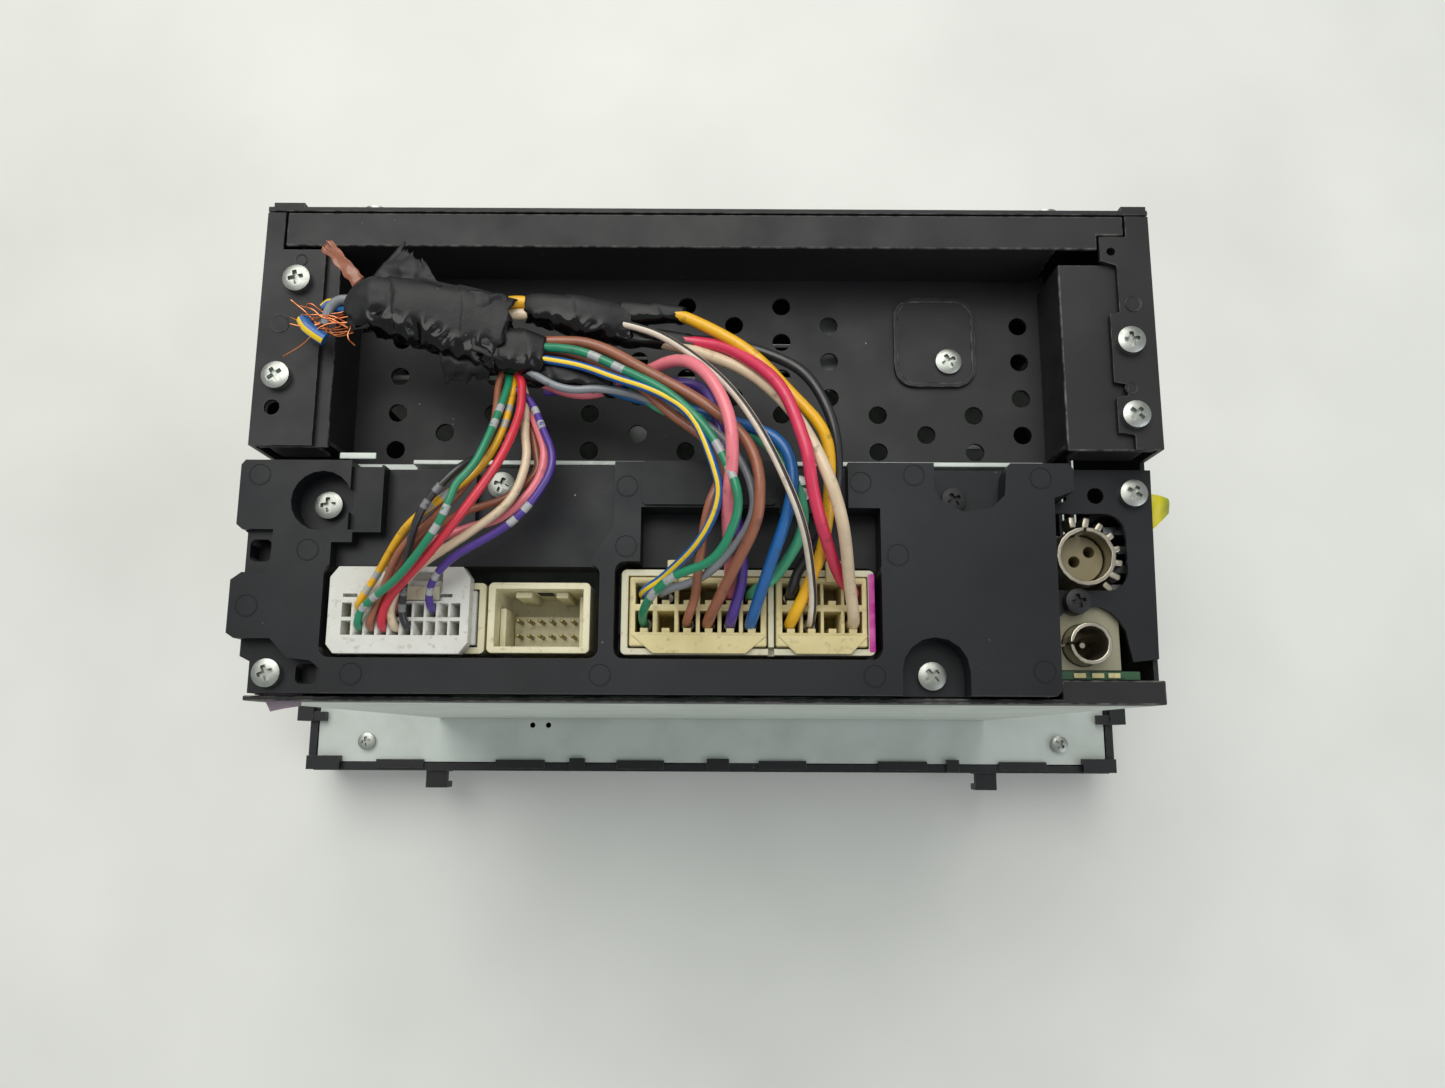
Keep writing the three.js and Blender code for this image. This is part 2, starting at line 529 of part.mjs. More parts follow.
// ---- Cut-off vehicle harness: taped bundle and the wires that fan out to the plugs ----
const trunkRoute = [
  [-70, 27, 6.5], [-66, 27.6, 6.6], [-61, 27.6, 6.7], [-55, 26.4, 6.6], [-49, 24.4, 6.2], [-43, 21.6, 5.4],
  [-37.5, 18.6, 4.4],
];
const branchRoute = [
  [-33.8, 27, 2.4], [-30, 26.8, 2.2], [-26, 26.4, 1.6], [-20, 25.6, 1], [-14, 24.8, 0.6], [-8, 24.4, 0.4],
  [-4, 24.4, 0.4],
];
const whiteRoute = [
  [-59, -33.6, 0.2], [-58.8, -32, 4], [-56, -26.5, 9], [-51, -20, 11.5], [-45, -12, 12], [-40, -4, 11],
  [-38.5, 4, 8], [-40, 10, 5],
];
const leftRoute = [
  [-1, -33.5, -2.2], [-1, -32.6, 3], [0.5, -27, 11], [3, -18, 15], [4, -8, 15.5], [0, 1, 13.5], [-8, 8, 10.5],
  [-18, 13, 7], [-27, 16.6, 4.6], [-33, 18, 3.6],
];
const rightRoute = [
  [22.5, -33.5, -2], [22.6, -32.6, 3], [23.5, -25, 11], [23, -14, 15], [19.5, -2, 14], [13, 9, 11],
  [5.4, 17.6, 6], [-1, 22.6, 2.2],
];
part('tape_trunk', cord(trunkRoute, 6.2, 14), tape, rear);
part('tape_branch', cord(branchRoute, 3.4, 12), tape, rear);
part('wires_to_20way', cord(whiteRoute, 3.4, 18), wire, rear);
part('wires_to_6column', cord(leftRoute, 3.6, 22), wire, rear);
part('wires_to_4column', cord(rightRoute, 3.2, 20), wire, rear);

const tab = outline([[HALF_W + GAP, -7], [95.2, -7.8], [95.6, -10.8], [HALF_W + GAP, -15.9]]);
part('yellow_tab', plate(tab, -12.4, -12), yellowFilm, rear);

export default radio;
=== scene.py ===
# %% [markdown]
# # A car radio lying on its face, in looks
# The frame gives every solid piece of the radio at its real size and place. This file dresses it: wires,
# tape, plugs, screws, rounded edges and finishes. Everything is in metres, with +Z out of the radio's
# rear and +Y to its top side.

# %% Load the frame
import bpy, bmesh, json, math, random
from mathutils import Matrix, Vector, noise


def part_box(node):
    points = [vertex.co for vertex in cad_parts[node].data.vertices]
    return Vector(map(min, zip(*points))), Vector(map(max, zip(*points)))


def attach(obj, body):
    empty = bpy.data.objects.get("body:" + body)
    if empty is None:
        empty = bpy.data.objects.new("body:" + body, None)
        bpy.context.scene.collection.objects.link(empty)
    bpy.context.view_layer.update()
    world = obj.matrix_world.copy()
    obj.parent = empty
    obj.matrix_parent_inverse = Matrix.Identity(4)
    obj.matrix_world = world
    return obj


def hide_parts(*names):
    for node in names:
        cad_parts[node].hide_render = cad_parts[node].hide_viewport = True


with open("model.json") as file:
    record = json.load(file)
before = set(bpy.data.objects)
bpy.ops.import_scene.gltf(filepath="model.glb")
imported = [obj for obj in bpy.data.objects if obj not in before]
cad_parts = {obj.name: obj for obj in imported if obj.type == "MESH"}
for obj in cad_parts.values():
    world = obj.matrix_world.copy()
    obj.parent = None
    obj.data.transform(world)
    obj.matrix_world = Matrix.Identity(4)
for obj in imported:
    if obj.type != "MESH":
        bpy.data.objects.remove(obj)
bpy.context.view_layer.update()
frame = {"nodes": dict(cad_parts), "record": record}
nodes = frame["nodes"]
MM = 0.001
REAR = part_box("top_rail")[1].z
print("rear flanges at", round(REAR / MM, 2), "mm,", len(nodes), "nodes")


def at(x, y, z):
    """A point in millimetres, with z measured from the rear flanges, as a place in the frame."""
    return Vector((x * MM, y * MM, REAR + z * MM))


# %% [markdown]
# ## Camera
# The radio is seen from above its lower edge, from 20 cm over the rear panel. So close a camera needs a
# wide lens: it makes the rear large and lets the bezel at the table look small. The camera object holds
# its place and its turn.

# %% Camera
TILT = math.radians(10.5)
ROLL = math.radians(0.28)
lens = bpy.data.cameras.new("camera")
lens.sensor_width = 36
lens.lens = 26.7
lens.clip_start = 0.005
camera = bpy.data.objects.new("camera", lens)
camera.matrix_world = (
    Matrix.Translation(at(3.3, -57.6, 203.4)) @ Matrix.Rotation(TILT, 4, "X") @ Matrix.Rotation(ROLL, 4, "Z")
)
bpy.context.scene.collection.objects.link(camera)
bpy.context.scene.camera = camera
print("camera at", [round(v, 4) for v in camera.location])

# %% [markdown]
# ## Finishes: the helpers
# A finish is a small network of nodes. One helper adds a node with its settings and its links, and one
# turns a colour as it is written on screens, in sRGB hex, into the linear numbers that the renderer adds
# light with.


# %% Helpers for finishes
def linear(hex_colour):
    channels = [int(hex_colour[i:i + 2], 16) / 255 for i in (1, 3, 5)]
    return [c / 12.92 if c <= 0.04045 else ((c + 0.055) / 1.055) ** 2.4 for c in channels] + [1.0]


def add_node(mat, kind, inputs=None, **settings):
    """Adds a node: settings are its own properties, inputs are numbers, colours or other nodes' outputs."""
    made = mat.node_tree.nodes.new(kind)
    for key, value in settings.items():
        setattr(made, key, value)
    for key, value in (inputs or {}).items():
        if isinstance(value, bpy.types.NodeSocket):
            mat.node_tree.links.new(value, made.inputs[key])
        else:
            made.inputs[key].default_value = value
    return made


def start_finish(name, **constants):
    """A new material, its shader with the constants set, and the place on the piece in metres."""
    mat = bpy.data.materials.new(name)
    mat.use_nodes = True
    shader = mat.node_tree.nodes["Principled BSDF"]
    for key, value in constants.items():
        shader.inputs[key.replace("_", " ")].default_value = value
    place = add_node(mat, "ShaderNodeTexCoord").outputs["Object"]
    return mat, shader, place


def feed(mat, shader, socket, value):
    mat.node_tree.links.new(value, shader.inputs[socket])


def blend_colour(mat, share, first, second):
    """A colour between two, by a share from 0 to 1."""
    mixed = add_node(mat, "ShaderNodeMix", {0: share, 6: first, 7: second}, data_type="RGBA")
    return mixed.outputs[2]


def spread(mat, value, low, high, to_low=0.0, to_high=1.0):
    """Stretches a value's range from low..high to another."""
    inputs = {"Value": value, "From Min": low, "From Max": high, "To Min": to_low, "To Max": to_high}
    return add_node(mat, "ShaderNodeMapRange", inputs).outputs["Result"]


def times(mat, first, second):
    return add_node(mat, "ShaderNodeMath", {0: first, 1: second}, operation="MULTIPLY").outputs[0]


def grain(mat, place, size_mm, detail=3.0):
    """Soft noise whose blotches are about this many millimetres across."""
    inputs = {"Vector": place, "Scale": 1000 / size_mm, "Detail": detail}
    return add_node(mat, "ShaderNodeTexNoise", inputs).outputs[0]


def cells_of(mat, place, size_mm):
    """A Voronoi pattern whose cells are about this many millimetres across."""
    return add_node(mat, "ShaderNodeTexVoronoi", {"Vector": place, "Scale": 1000 / size_mm})


def rough_skin(mat, shader, height, depth_mm):
    bump = add_node(mat, "ShaderNodeBump", {"Height": height, "Distance": depth_mm * MM, "Strength": 0.6})
    feed(mat, shader, "Normal", bump.outputs[0])


def specks(mat, place, spacing_mm, size_mm):
    """Bits of lint and dust: one small spot in each cell of a pattern, where coarse noise lets it lie."""
    cells = cells_of(mat, place, spacing_mm).outputs["Distance"]
    reach = size_mm / spacing_mm
    spots = spread(mat, cells, reach, 0.6 * reach)
    return times(mat, spots, spread(mat, grain(mat, place, 22), 0.52, 0.66))


def coated(name, colour, bloom, roughness, skin_mm, skin_depth_mm, dust, **constants):
    """A coating or a moulding: a colour clouded by a paler bloom, with a fine skin, dust, and worn edges."""
    mat, shader, place = start_finish(name, **constants)
    cloud = spread(mat, grain(mat, place, 30, 5), 0.4, 0.72)
    tint = blend_colour(mat, cloud, linear(colour), linear(bloom))
    worn = add_node(mat, "ShaderNodeAttribute", attribute_name="worn").outputs["Fac"]
    scuffs = times(mat, worn, spread(mat, grain(mat, place, 2.2, 4), 0.4, 0.7, 0.0, 0.6))
    tint = blend_colour(mat, scuffs, tint, linear("#7b7973"))
    tint = blend_colour(mat, times(mat, specks(mat, place, 4.5, 0.22), dust), tint, linear("#b9b9b4"))
    feed(mat, shader, "Base Color", tint)
    patch = spread(mat, grain(mat, place, 9, 4), 0.3, 0.7, roughness - 0.06, roughness + 0.08)
    feed(mat, shader, "Roughness", patch)
    rough_skin(mat, shader, grain(mat, place, skin_mm, 2), skin_depth_mm)
    return mat


def bare_metal(name, colour, stain, roughness, crystal_mm, metallic=1.0):
    """Metal whose reflection is broken up by crystals and dulled by stains, and by oxide if less metallic."""
    mat, shader, place = start_finish(name, Metallic=metallic)
    flakes = spread(mat, cells_of(mat, place, crystal_mm).outputs["Color"], 0.1, 0.9)
    stains = spread(mat, grain(mat, place, 14, 5), 0.42, 0.7)
    tint = blend_colour(mat, stains, linear(colour), linear(stain))
    feed(mat, shader, "Base Color", tint)
    dull = spread(mat, flakes, 0.0, 1.0, roughness - 0.05, roughness + 0.08)
    feed(mat, shader, "Roughness", dull)
    rough_skin(mat, shader, grain(mat, place, 0.5, 3), 0.01)
    return mat


# %% [markdown]
# ## Finishes: the wires
# Vehicle wire is copper in PVC: coloured all through, extruded smooth and slightly glossy. Many wires
# carry a code in a second colour: a stripe along each side, or pairs of silver bands printed every few
# centimetres. A bevelled curve has a UV map of its own, with U along the wire and V around it, so both
# marks are drawn on that.


# %% PVC insulation
def repeated(mat, coordinate, count, half_share):
    """One in the middle of each of count equal parts of a coordinate from 0 to 1, and zero elsewhere."""
    fraction = add_node(mat, "ShaderNodeMath", {0: times(mat, coordinate, count)}, operation="FRACT")
    inputs = {0: fraction.outputs[0], 1: 0.5, 2: half_share}
    return add_node(mat, "ShaderNodeMath", inputs, operation="COMPARE").outputs[0]


def pvc(name, colour, stripe=None, bands=None):
    mat, shader, place = start_finish(name, Specular_IOR_Level=0.55, IOR=1.53, Coat_Weight=0.25,
                                      Coat_Roughness=0.12)
    clouded = [0.72 * c for c in linear(colour)[:3]] + [1.0]
    cloud = spread(mat, grain(mat, place, 4, 4), 0.45, 0.75, 0.0, 0.6)
    tint = blend_colour(mat, cloud, linear(colour), clouded)
    along_around = add_node(mat, "ShaderNodeUVMap", uv_map="UVMap").outputs["UV"]
    apart = add_node(mat, "ShaderNodeSeparateXYZ", {0: along_around})
    if stripe:
        tint = blend_colour(mat, repeated(mat, apart.outputs[1], 2.0, 0.15), tint, linear(stripe))
    if bands:
        groups, singles = [repeated(mat, apart.outputs[0], *share) for share in ((3.0, 0.14), (18.0, 0.24))]
        band = times(mat, groups, singles)
        worn_ink = spread(mat, grain(mat, place, 1.2, 3), 0.3, 0.42)
        tint = blend_colour(mat, times(mat, band, worn_ink), tint, linear(bands))
    soiled = spread(mat, grain(mat, place, 2.2, 5), 0.6, 0.74, 0.0, 0.5)
    tint = blend_colour(mat, soiled, tint, linear("#3b332c"))
    feed(mat, shader, "Base Color", tint)
    gloss = spread(mat, grain(mat, place, 3, 4), 0.3, 0.7, 0.28, 0.46)
    feed(mat, shader, "Roughness", gloss)
    rough_skin(mat, shader, grain(mat, place, 1.1, 2), 0.05)
    return mat


SILVER_INK = "#a9adac"
insulation = {
    "green": pvc("pvc_green", "#12865f"),
    "green_banded": pvc("pvc_green_silver_bands", "#12865f", bands=SILVER_INK),
    "blue_yellow": pvc("pvc_blue_yellow_stripe", "#1b62ac", stripe="#f2cd14"),
    "grey": pvc("pvc_grey", "#858b90"),
    "brown": pvc("pvc_brown", "#9b5f45"),
    "purple": pvc("pvc_purple", "#4a2d8c"),
    "purple_banded": pvc("pvc_purple_silver_bands", "#4a2d8c", bands=SILVER_INK),
    "blue": pvc("pvc_blue", "#1663a8"),
    "pink": pvc("pvc_pink", "#ee7f8b"),
    "light_green": pvc("pvc_light_green", "#4dbb8f"),
    "yellow": pvc("pvc_yellow", "#eeb30c"),
    "yellow_banded": pvc("pvc_yellow_silver_bands", "#eeb30c", bands=SILVER_INK),
    "black": pvc("pvc_black", "#222326"),
    "black_banded": pvc("pvc_black_silver_bands", "#222326", bands="#77797a"),
    "white_black": pvc("pvc_white_black_stripe", "#e6d9c6", stripe="#2a2826"),
    "crimson": pvc("pvc_crimson", "#d82f56"),
    "red": pvc("pvc_red", "#d4283e"),
    "beige": pvc("pvc_beige", "#dcc6a6"),
}
print(len(insulation), "wire colours")

# %% [markdown]
# ## Wires
# Each wire starts in its own cavity of a plug, rises, bends over and runs into the tape. It's a curve
# with a round bevel: the curve's line is the middle of the wire, and the bevel is its insulation. Eight
# or so given places are enough for the route, and a Catmull-Rom curve fills in smooth points
# between them. The first bit goes straight up out of the cavity. The wires are kept apart in height, so
# that each passes over or under its neighbours.

# %% How a wire is made
WIRE_POINTS = 26


def smooth_route(route, count):
    """Points evenly spread on a Catmull-Rom curve through the given places."""
    places = [Vector(p) for p in route]
    places = [2 * places[0] - places[1]] + places + [2 * places[-1] - places[-2]]
    fine = []
    for i in range(1, len(places) - 2):
        a, b, c, d = places[i - 1:i + 3]
        for step in range(12):
            t = step / 12
            fine.append(0.5 * (2 * b + (c - a) * t + (2 * a - 5 * b + 4 * c - d) * t * t
                               + (3 * b - a - 3 * c + d) * t * t * t))
    fine.append(places[-2])
    ways = [0.0]
    for first, second in zip(fine, fine[1:]):
        ways.append(ways[-1] + (second - first).length)
    points = []
    place = 0
    for i in range(count):
        way = ways[-1] * i / (count - 1)
        while place < len(fine) - 2 and ways[place + 1] < way:
            place += 1
        share = (way - ways[place]) / max(ways[place + 1] - ways[place], 1e-9)
        points.append(fine[place].lerp(fine[place + 1], min(share, 1.0)))
    return points


def placed(name, data):
    """A new object in the scene, from a mesh or a curve."""
    piece = bpy.data.objects.new(name, data)
    bpy.context.scene.collection.objects.link(piece)
    return piece


def rope(name, points, diameter, mat):
    """A curve with one open spline through points in the frame, thickened to the diameter."""
    curve = bpy.data.curves.new(name, "CURVE")
    curve.dimensions = "3D"
    curve.bevel_depth = diameter / 2
    curve.bevel_resolution = 3
    curve.resolution_u = 3
    curve.use_fill_caps = True
    spline = curve.splines.new("BEZIER")
    spline.bezier_points.add(len(points) - 1)
    for bezier, point in zip(spline.bezier_points, points):
        bezier.co = point
        bezier.handle_left_type = bezier.handle_right_type = "AUTO"
    curve.materials.append(mat)
    return placed(name, curve)


def wire(name, colour, thickness_mm, route, stands_for):
    x, y, z = route[0]
    points = [at(*p) for p in smooth_route([route[0], (x, y + 0.2, z + 5.4)] + route[1:], WIRE_POINTS)]
    piece = rope(name, points, thickness_mm * MM, insulation[colour])
    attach(piece, "chassis")
    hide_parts(stands_for)
    wires.append(piece)
    return piece


wires = []

# %% [markdown]
# ## Tape
# The bundle is wrapped by hand in black PVC tape. Such a wrap is a loose skin: it follows the wires under
# it, its turns overlap in low steps, it's smooth where it's pulled tight and full of small creases where
# it was squeezed together. It's built as rings of points along the bundle, each ring squashed to the
# bundle's section and then creased by noise. Its creased lower side is painted darker, as painted shade.

# %% Tape finish
def pvc_tape(name):
    """Calendered PVC film: dull and dusty on the flat, glossy in the creases, and painted darker on the
    creased lower side as painted shade.
    """
    mat, shader, place = start_finish(name, IOR=1.53, Specular_IOR_Level=0.32)
    creased_shaded_side = add_node(mat, "ShaderNodeAttribute", attribute_name="creased_shaded_side").outputs["Fac"]
    handled = spread(mat, grain(mat, place, 9, 4), 0.35, 0.7)
    tint = blend_colour(mat, handled, linear("#101012"), linear("#1b1c1e"))
    # Painted shade: the creased lower side of the bundle is painted darker.
    tint = blend_colour(mat, creased_shaded_side, tint, linear("#09090a"))
    lint = specks(mat, place, 2.6, 0.13)
    tint = blend_colour(mat, lint, tint, linear("#757573"))
    feed(mat, shader, "Base Color", tint)
    feed(mat, shader, "Roughness", spread(mat, creased_shaded_side, 0, 1, 0.46, 0.16))
    rough_skin(mat, shader, grain(mat, place, 1.6, 6), 0.16)
    return mat


tape_finish = pvc_tape("black_pvc_tape")


# %% How tape is made
def between(values, share):
    """A value from an evenly spread list, at a share of its length."""
    place = min(max(share, 0.0), 1.0) * (len(values) - 1)
    low = min(int(place), len(values) - 2)
    return values[low] + (values[low + 1] - values[low]) * (place - low)


def creases(point, seed, size_mm):
    """Ridged noise: zero on the smooth parts and up to one along the creases."""
    return 1 - abs(noise.noise(Vector(point) / size_mm + Vector((seed, 3.1 * seed, -seed)))) * 2.2


def wrapped(name, route, half_widths, half_heights, seed, crumple=0.5, turns=3.0, rings=72, sides=48):
    centres = [Vector(p) for p in smooth_route(route, rings)]
    shape = bmesh.new()
    creased_shaded_side = shape.verts.layers.float.new("creased_shaded_side")
    loops = []
    for i, centre in enumerate(centres):
        share = i / (rings - 1)
        ahead = (centres[min(i + 1, rings - 1)] - centres[max(i - 1, 0)]).normalized()
        across = ahead.cross(Vector((0, 0, 1))).normalized()
        up = across.cross(ahead)
        loop = []
        for k in range(sides):
            angle = 2 * math.pi * k / sides
            c, s = math.cos(angle), math.sin(angle)
            x = between(half_widths, share) * math.copysign(abs(c) ** 0.7, c)
            y = between(half_heights, share) * math.copysign(abs(s) ** 0.62, s)
            point = centre + across * x + up * y
            lap = (share * turns + k / sides) % 1.0
            low_side = min(max((c + 0.45 * noise.noise(point / 6) - 0.05) * 2.5, 0.0), 1.0)
            depth = 0.3 * (1 - lap) + crumple * (0.5 * noise.noise(point / 8 + Vector((seed, 0, 0)))
                                                + low_side * (0.9 * creases(point, seed, 3.2) - 0.4))
            point += (across * c + up * s) * depth
            if i in (0, rings - 1):
                point += ahead * 1.3 * noise.noise(point * 0.9 + Vector((0, seed, 0)))
            loop.append(shape.verts.new(at(*point)))
            # Marks the creased lower side, which the tape finish paints darker as painted shade.
            loop[-1][creased_shaded_side] = low_side
        loops.append(loop)
    for first, second in zip(loops, loops[1:]):
        for k in range(sides):
            shape.faces.new((first[k - 1], first[k], second[k], second[k - 1]))
    for loop, inward in ((loops[0], 1), (loops[-1], -1)):
        middle = sum((v.co for v in loop), Vector()) / sides
        deeper = (centres[3] - centres[0]) * MM if inward == 1 else (centres[-4] - centres[-1]) * MM
        inner = [shape.verts.new(middle + (v.co - middle) * 0.8 + deeper) for v in loop]
        for k in range(sides):
            shape.faces.new((loop[k - 1], loop[k], inner[k], inner[k - 1]))
        shape.faces.new(inner)
    bmesh.ops.recalc_face_normals(shape, faces=shape.faces)
    mesh = bpy.data.meshes.new(name)
    shape.to_mesh(mesh)
    shape.free()
    piece = placed(name, mesh)
    mesh.shade_smooth()
    mesh.materials.append(tape_finish)
    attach(piece, "chassis")
    return piece


def flap(name, corners, seed, ragged=1.0, curl=0.8, mat=None, thickness_mm=0.15):
    """A torn strip of film: a grid between four corners, curled, creased, and ragged along its far edge."""
    cells = 26
    bpy.ops.object.select_all(action="DESELECT")
    bpy.ops.mesh.primitive_grid_add(x_subdivisions=cells, y_subdivisions=cells, size=1)
    piece = bpy.context.object
    piece.name = piece.data.name = name
    a, b, c, d = [Vector(p) for p in corners]
    for vert in piece.data.vertices:
        u, v = vert.co.x + 0.5, vert.co.y + 0.5
        place = a.lerp(b, u).lerp(d.lerp(c, u), v)
        tear = ragged * max(0.0, v - 0.55) * (noise.noise(Vector((u * 9, seed, 0))) + 0.6 * noise.noise(
            Vector((u * 31, seed, 4))))
        place += (d.lerp(c, u) - a.lerp(b, u)) * tear
        place.z += curl * math.sin(math.pi * v) + 0.5 * noise.noise(place / 2.2 + Vector((seed, 0, 0)))
        place += Vector((1, 1, 0)) * 0.35 * noise.noise(place / 1.7 + Vector((0, 0, seed)))
        vert.co = at(*place)
    film = piece.modifiers.new("film", "SOLIDIFY")
    film.thickness = thickness_mm * MM
    film.offset = 0
    bpy.ops.object.modifier_apply(modifier="film")
    piece.data.shade_smooth()
    piece.data.materials.append(mat or tape_finish)
    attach(piece, "chassis")
    return piece


# %% [markdown]
# ## The trunk, its branches and the torn ends
# The trunk is the thickest bundle. A branch, a neck and two fingers leave it on the right, and a tail
# hangs below. Torn flaps of tape stand out where the wrap was ripped open.

# %% The taped trunk and its branches
trunk = wrapped("tape_trunk_wrap", [
    (-69.2, 23.6, 5.2), (-66, 25.8, 5.6), (-61, 25.7, 5.9), (-55.5, 24.4, 5.8), (-50, 23, 5.5),
    (-44, 21.7, 5), (-39.2, 20.5, 4.7)],
    (2.8, 5.5, 6.0, 6.5, 6.9, 7.2, 7.6), (2.8, 3.8, 4.0, 3.9, 3.7, 3.4, 3.1), 2.0, 1.0, 2.4, 96, 64)
branch = wrapped("tape_branch_wrap", [
    (-35.5, 26.6, 3), (-33.4, 26.7, 3.2), (-27.2, 25.5, 3), (-20.8, 24.4, 2.6), (-14.8, 23.9, 2.2)],
    (2.4, 3.1, 3.8, 4.0, 3.8), (2.2, 2.8, 3.0, 2.7, 2.2), 5.0, 0.7, 1.6)
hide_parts("tape_trunk")
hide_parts("tape_branch")
harness = [
    trunk, branch,
    wrapped("tape_neck", [(-42.5, 17.8, 4.4), (-36, 16.9, 4.6), (-31.4, 16.3, 4.2)], (4.2, 4.4, 3.6),
            (2.8, 2.6, 2.2), 3.0, 0.6, 1.1, 30, 36),
    wrapped("tape_finger_upper", [(-17, 26, 2.6), (-10, 25.8, 3), (-4.4, 25.2, 3.8)], (2.2, 1.8, 1.4),
            (1.8, 1.6, 1.4), 7.0, 0.25, 1.2, 30, 28),
    wrapped("tape_finger_lower", [(-17, 21.6, 1.8), (-8, 20.5, 2.6), (-1.6, 19.1, 3.8)], (1.9, 1.6, 1.5),
            (1.5, 1.6, 1.6), 9.0, 0.3, 1.4, 34, 28),
    wrapped("tape_tail", [(-35.5, 13.6, 3), (-32.4, 13, 3.2), (-25.5, 12.3, 3.6), (-18.2, 10.6, 3.6)],
            (2.3, 2.2, 2.0, 1.8), (1.9, 1.9, 1.8, 1.7), 11.0, 0.5, 2.2, 40, 32),
    flap("torn_peak", [(-66, 29.4, 8.2), (-51, 28.6, 9), (-54.5, 34, 8.6), (-60.3, 37.6, 7.4)],
         1.3, 0.55, 0.5),
    flap("torn_lower_edge", [(-52, 17, 6), (-41, 15, 5.4), (-42.3, 11.8, 4), (-51, 11.6, 3.6)],
         2.7, 0.5, 0.9),
    flap("torn_left_edge", [(-63.5, 21, 8), (-66.2, 29, 8.4), (-70, 26.5, 7), (-69.8, 20.4, 6)],
         4.1, 0.3, 0.4),
    flap("wrap_edge", [(-46, 28.2, 8.6), (-45, 16, 7.8), (-38.4, 14, 6.9), (-38.5, 27.6, 7)], 6.3, 0.1, 0.4),
]
print(len(harness), "taped pieces")

# %% [markdown]
# ## The cut end
# Where the bundle was cut off, the wires end in short stubs and loose copper strands. A strand is a third
# of a millimetre thick, and all of them are splines of one curve with one thin bevel.


# %% Copper strands and stubs
copper_mat, copper_shader, copper_place = start_finish("bare_copper", Metallic=1.0)
copper_tint = blend_colour(copper_mat, spread(copper_mat, grain(copper_mat, copper_place, 1.5), 0.4, 0.65),
                           linear("#f0a070"), linear("#c06a40"))
feed(copper_mat, copper_shader, "Base Color", copper_tint)
copper_gloss = spread(copper_mat, grain(copper_mat, copper_place, 0.8), 0, 1, 0.2, 0.42)
feed(copper_mat, copper_shader, "Roughness", copper_gloss)
STRANDS = 15
CUT_END = Vector((-70, 24, 4.6))
TUFT = Vector((-79, 23.4, 3.8))
draw = random.Random(7)


def strand_tips():
    """Where the strands end: a tuft on the left, and a few that stick out far."""
    tips = [(-82.4, 28.2, 3.4), (-83.2, 16.6, 3), (-67.8, 17.4, 7), (-81.2, 24.2, 2.4), (-79.8, 26.3, 5)]
    while len(tips) < STRANDS:
        turn = draw.uniform(0, 2 * math.pi)
        reach = draw.uniform(1.2, 3.8)
        x, y = TUFT.x + 1.2 * reach * math.cos(turn), TUFT.y + reach * math.sin(turn)
        tips.append((x, y, draw.uniform(2, 5.5)))
    return tips


strands = bpy.data.curves.new("copper_strands", "CURVE")
strands.dimensions = "3D"
strands.bevel_depth = 0.16 * MM
strands.bevel_resolution = 1
strands.use_fill_caps = True
for tip in strand_tips():
    start = CUT_END + Vector((0.8, draw.uniform(-3, 2), draw.uniform(-1.2, 0.6)))
    middle = start.lerp(TUFT, draw.uniform(0.35, 0.75))
    middle += Vector((0, draw.uniform(-1.6, 1.6), draw.uniform(-0.8, 1.6)))
    if tip[0] > CUT_END.x:
        middle = start + Vector((0.4, -2.6, 2.2))
    spline = strands.splines.new("BEZIER")
    spline.bezier_points.add(3)
    late = middle.lerp(Vector(tip), 0.6)
    late += Vector((draw.uniform(-1, 1), draw.uniform(-1, 1), draw.uniform(-0.3, 0.9)))
    for bezier, place in zip(spline.bezier_points, (start, middle, late, Vector(tip))):
        bezier.co = at(*place)
        bezier.handle_left_type = bezier.handle_right_type = "AUTO"
copper_strands = placed("copper_strands", strands)
strands.materials.append(copper_mat)
harness.append(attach(copper_strands, "chassis"))
for name, colour, thickness_mm, route in (
    ("stub_grey", "grey", 1.9,
     [(-67, 26.6, 5.4), (-70, 27.4, 5.6), (-72.6, 27.2, 5.2), (-74.3, 25.4, 4.8), (-75, 22.8, 4.2)]),
    ("stub_blue", "blue", 2.0, [(-67, 25, 4.4), (-69.8, 25.6, 4.4), (-71.6, 26, 4), (-73.4, 26.6, 3.8)]),
    ("stub_yellow", "blue_yellow", 1.8, [(-73, 26.8, 3.6), (-74.6, 27.6, 3.4), (-76, 26.6, 3.2)]),
    ("stub_blue_yellow", "blue_yellow", 2.7,
     [(-79.6, 24, 3.6), (-78.4, 22.2, 4.2), (-76.8, 20.9, 4.2), (-75, 19.8, 3.8)]),
    ("gap_yellow", "yellow", 2.6, [(-40.5, 27.3, 4.4), (-36.6, 27.6, 4.2), (-33, 27.2, 3.6)]),
    ("gap_cream", "beige", 2.3, [(-40.5, 24.8, 4.4), (-36.6, 25.1, 4.2), (-33, 25.3, 3.6)]),
):
    stub = rope(name, [at(*p) for p in smooth_route(route, 9)], thickness_mm * MM, insulation[colour])
    harness.append(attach(stub, "chassis"))
harness.append(flap("stub_brown", [(-67, 31.4, 7), (-68.9, 29.6, 6.6), (-76.2, 38, 5.2), (-74.4, 39.6, 6)],
                    8.8, 0.22, 0.7, insulation["brown"], 0.5))
print(len(harness), "harness pieces with", STRANDS, "strands")

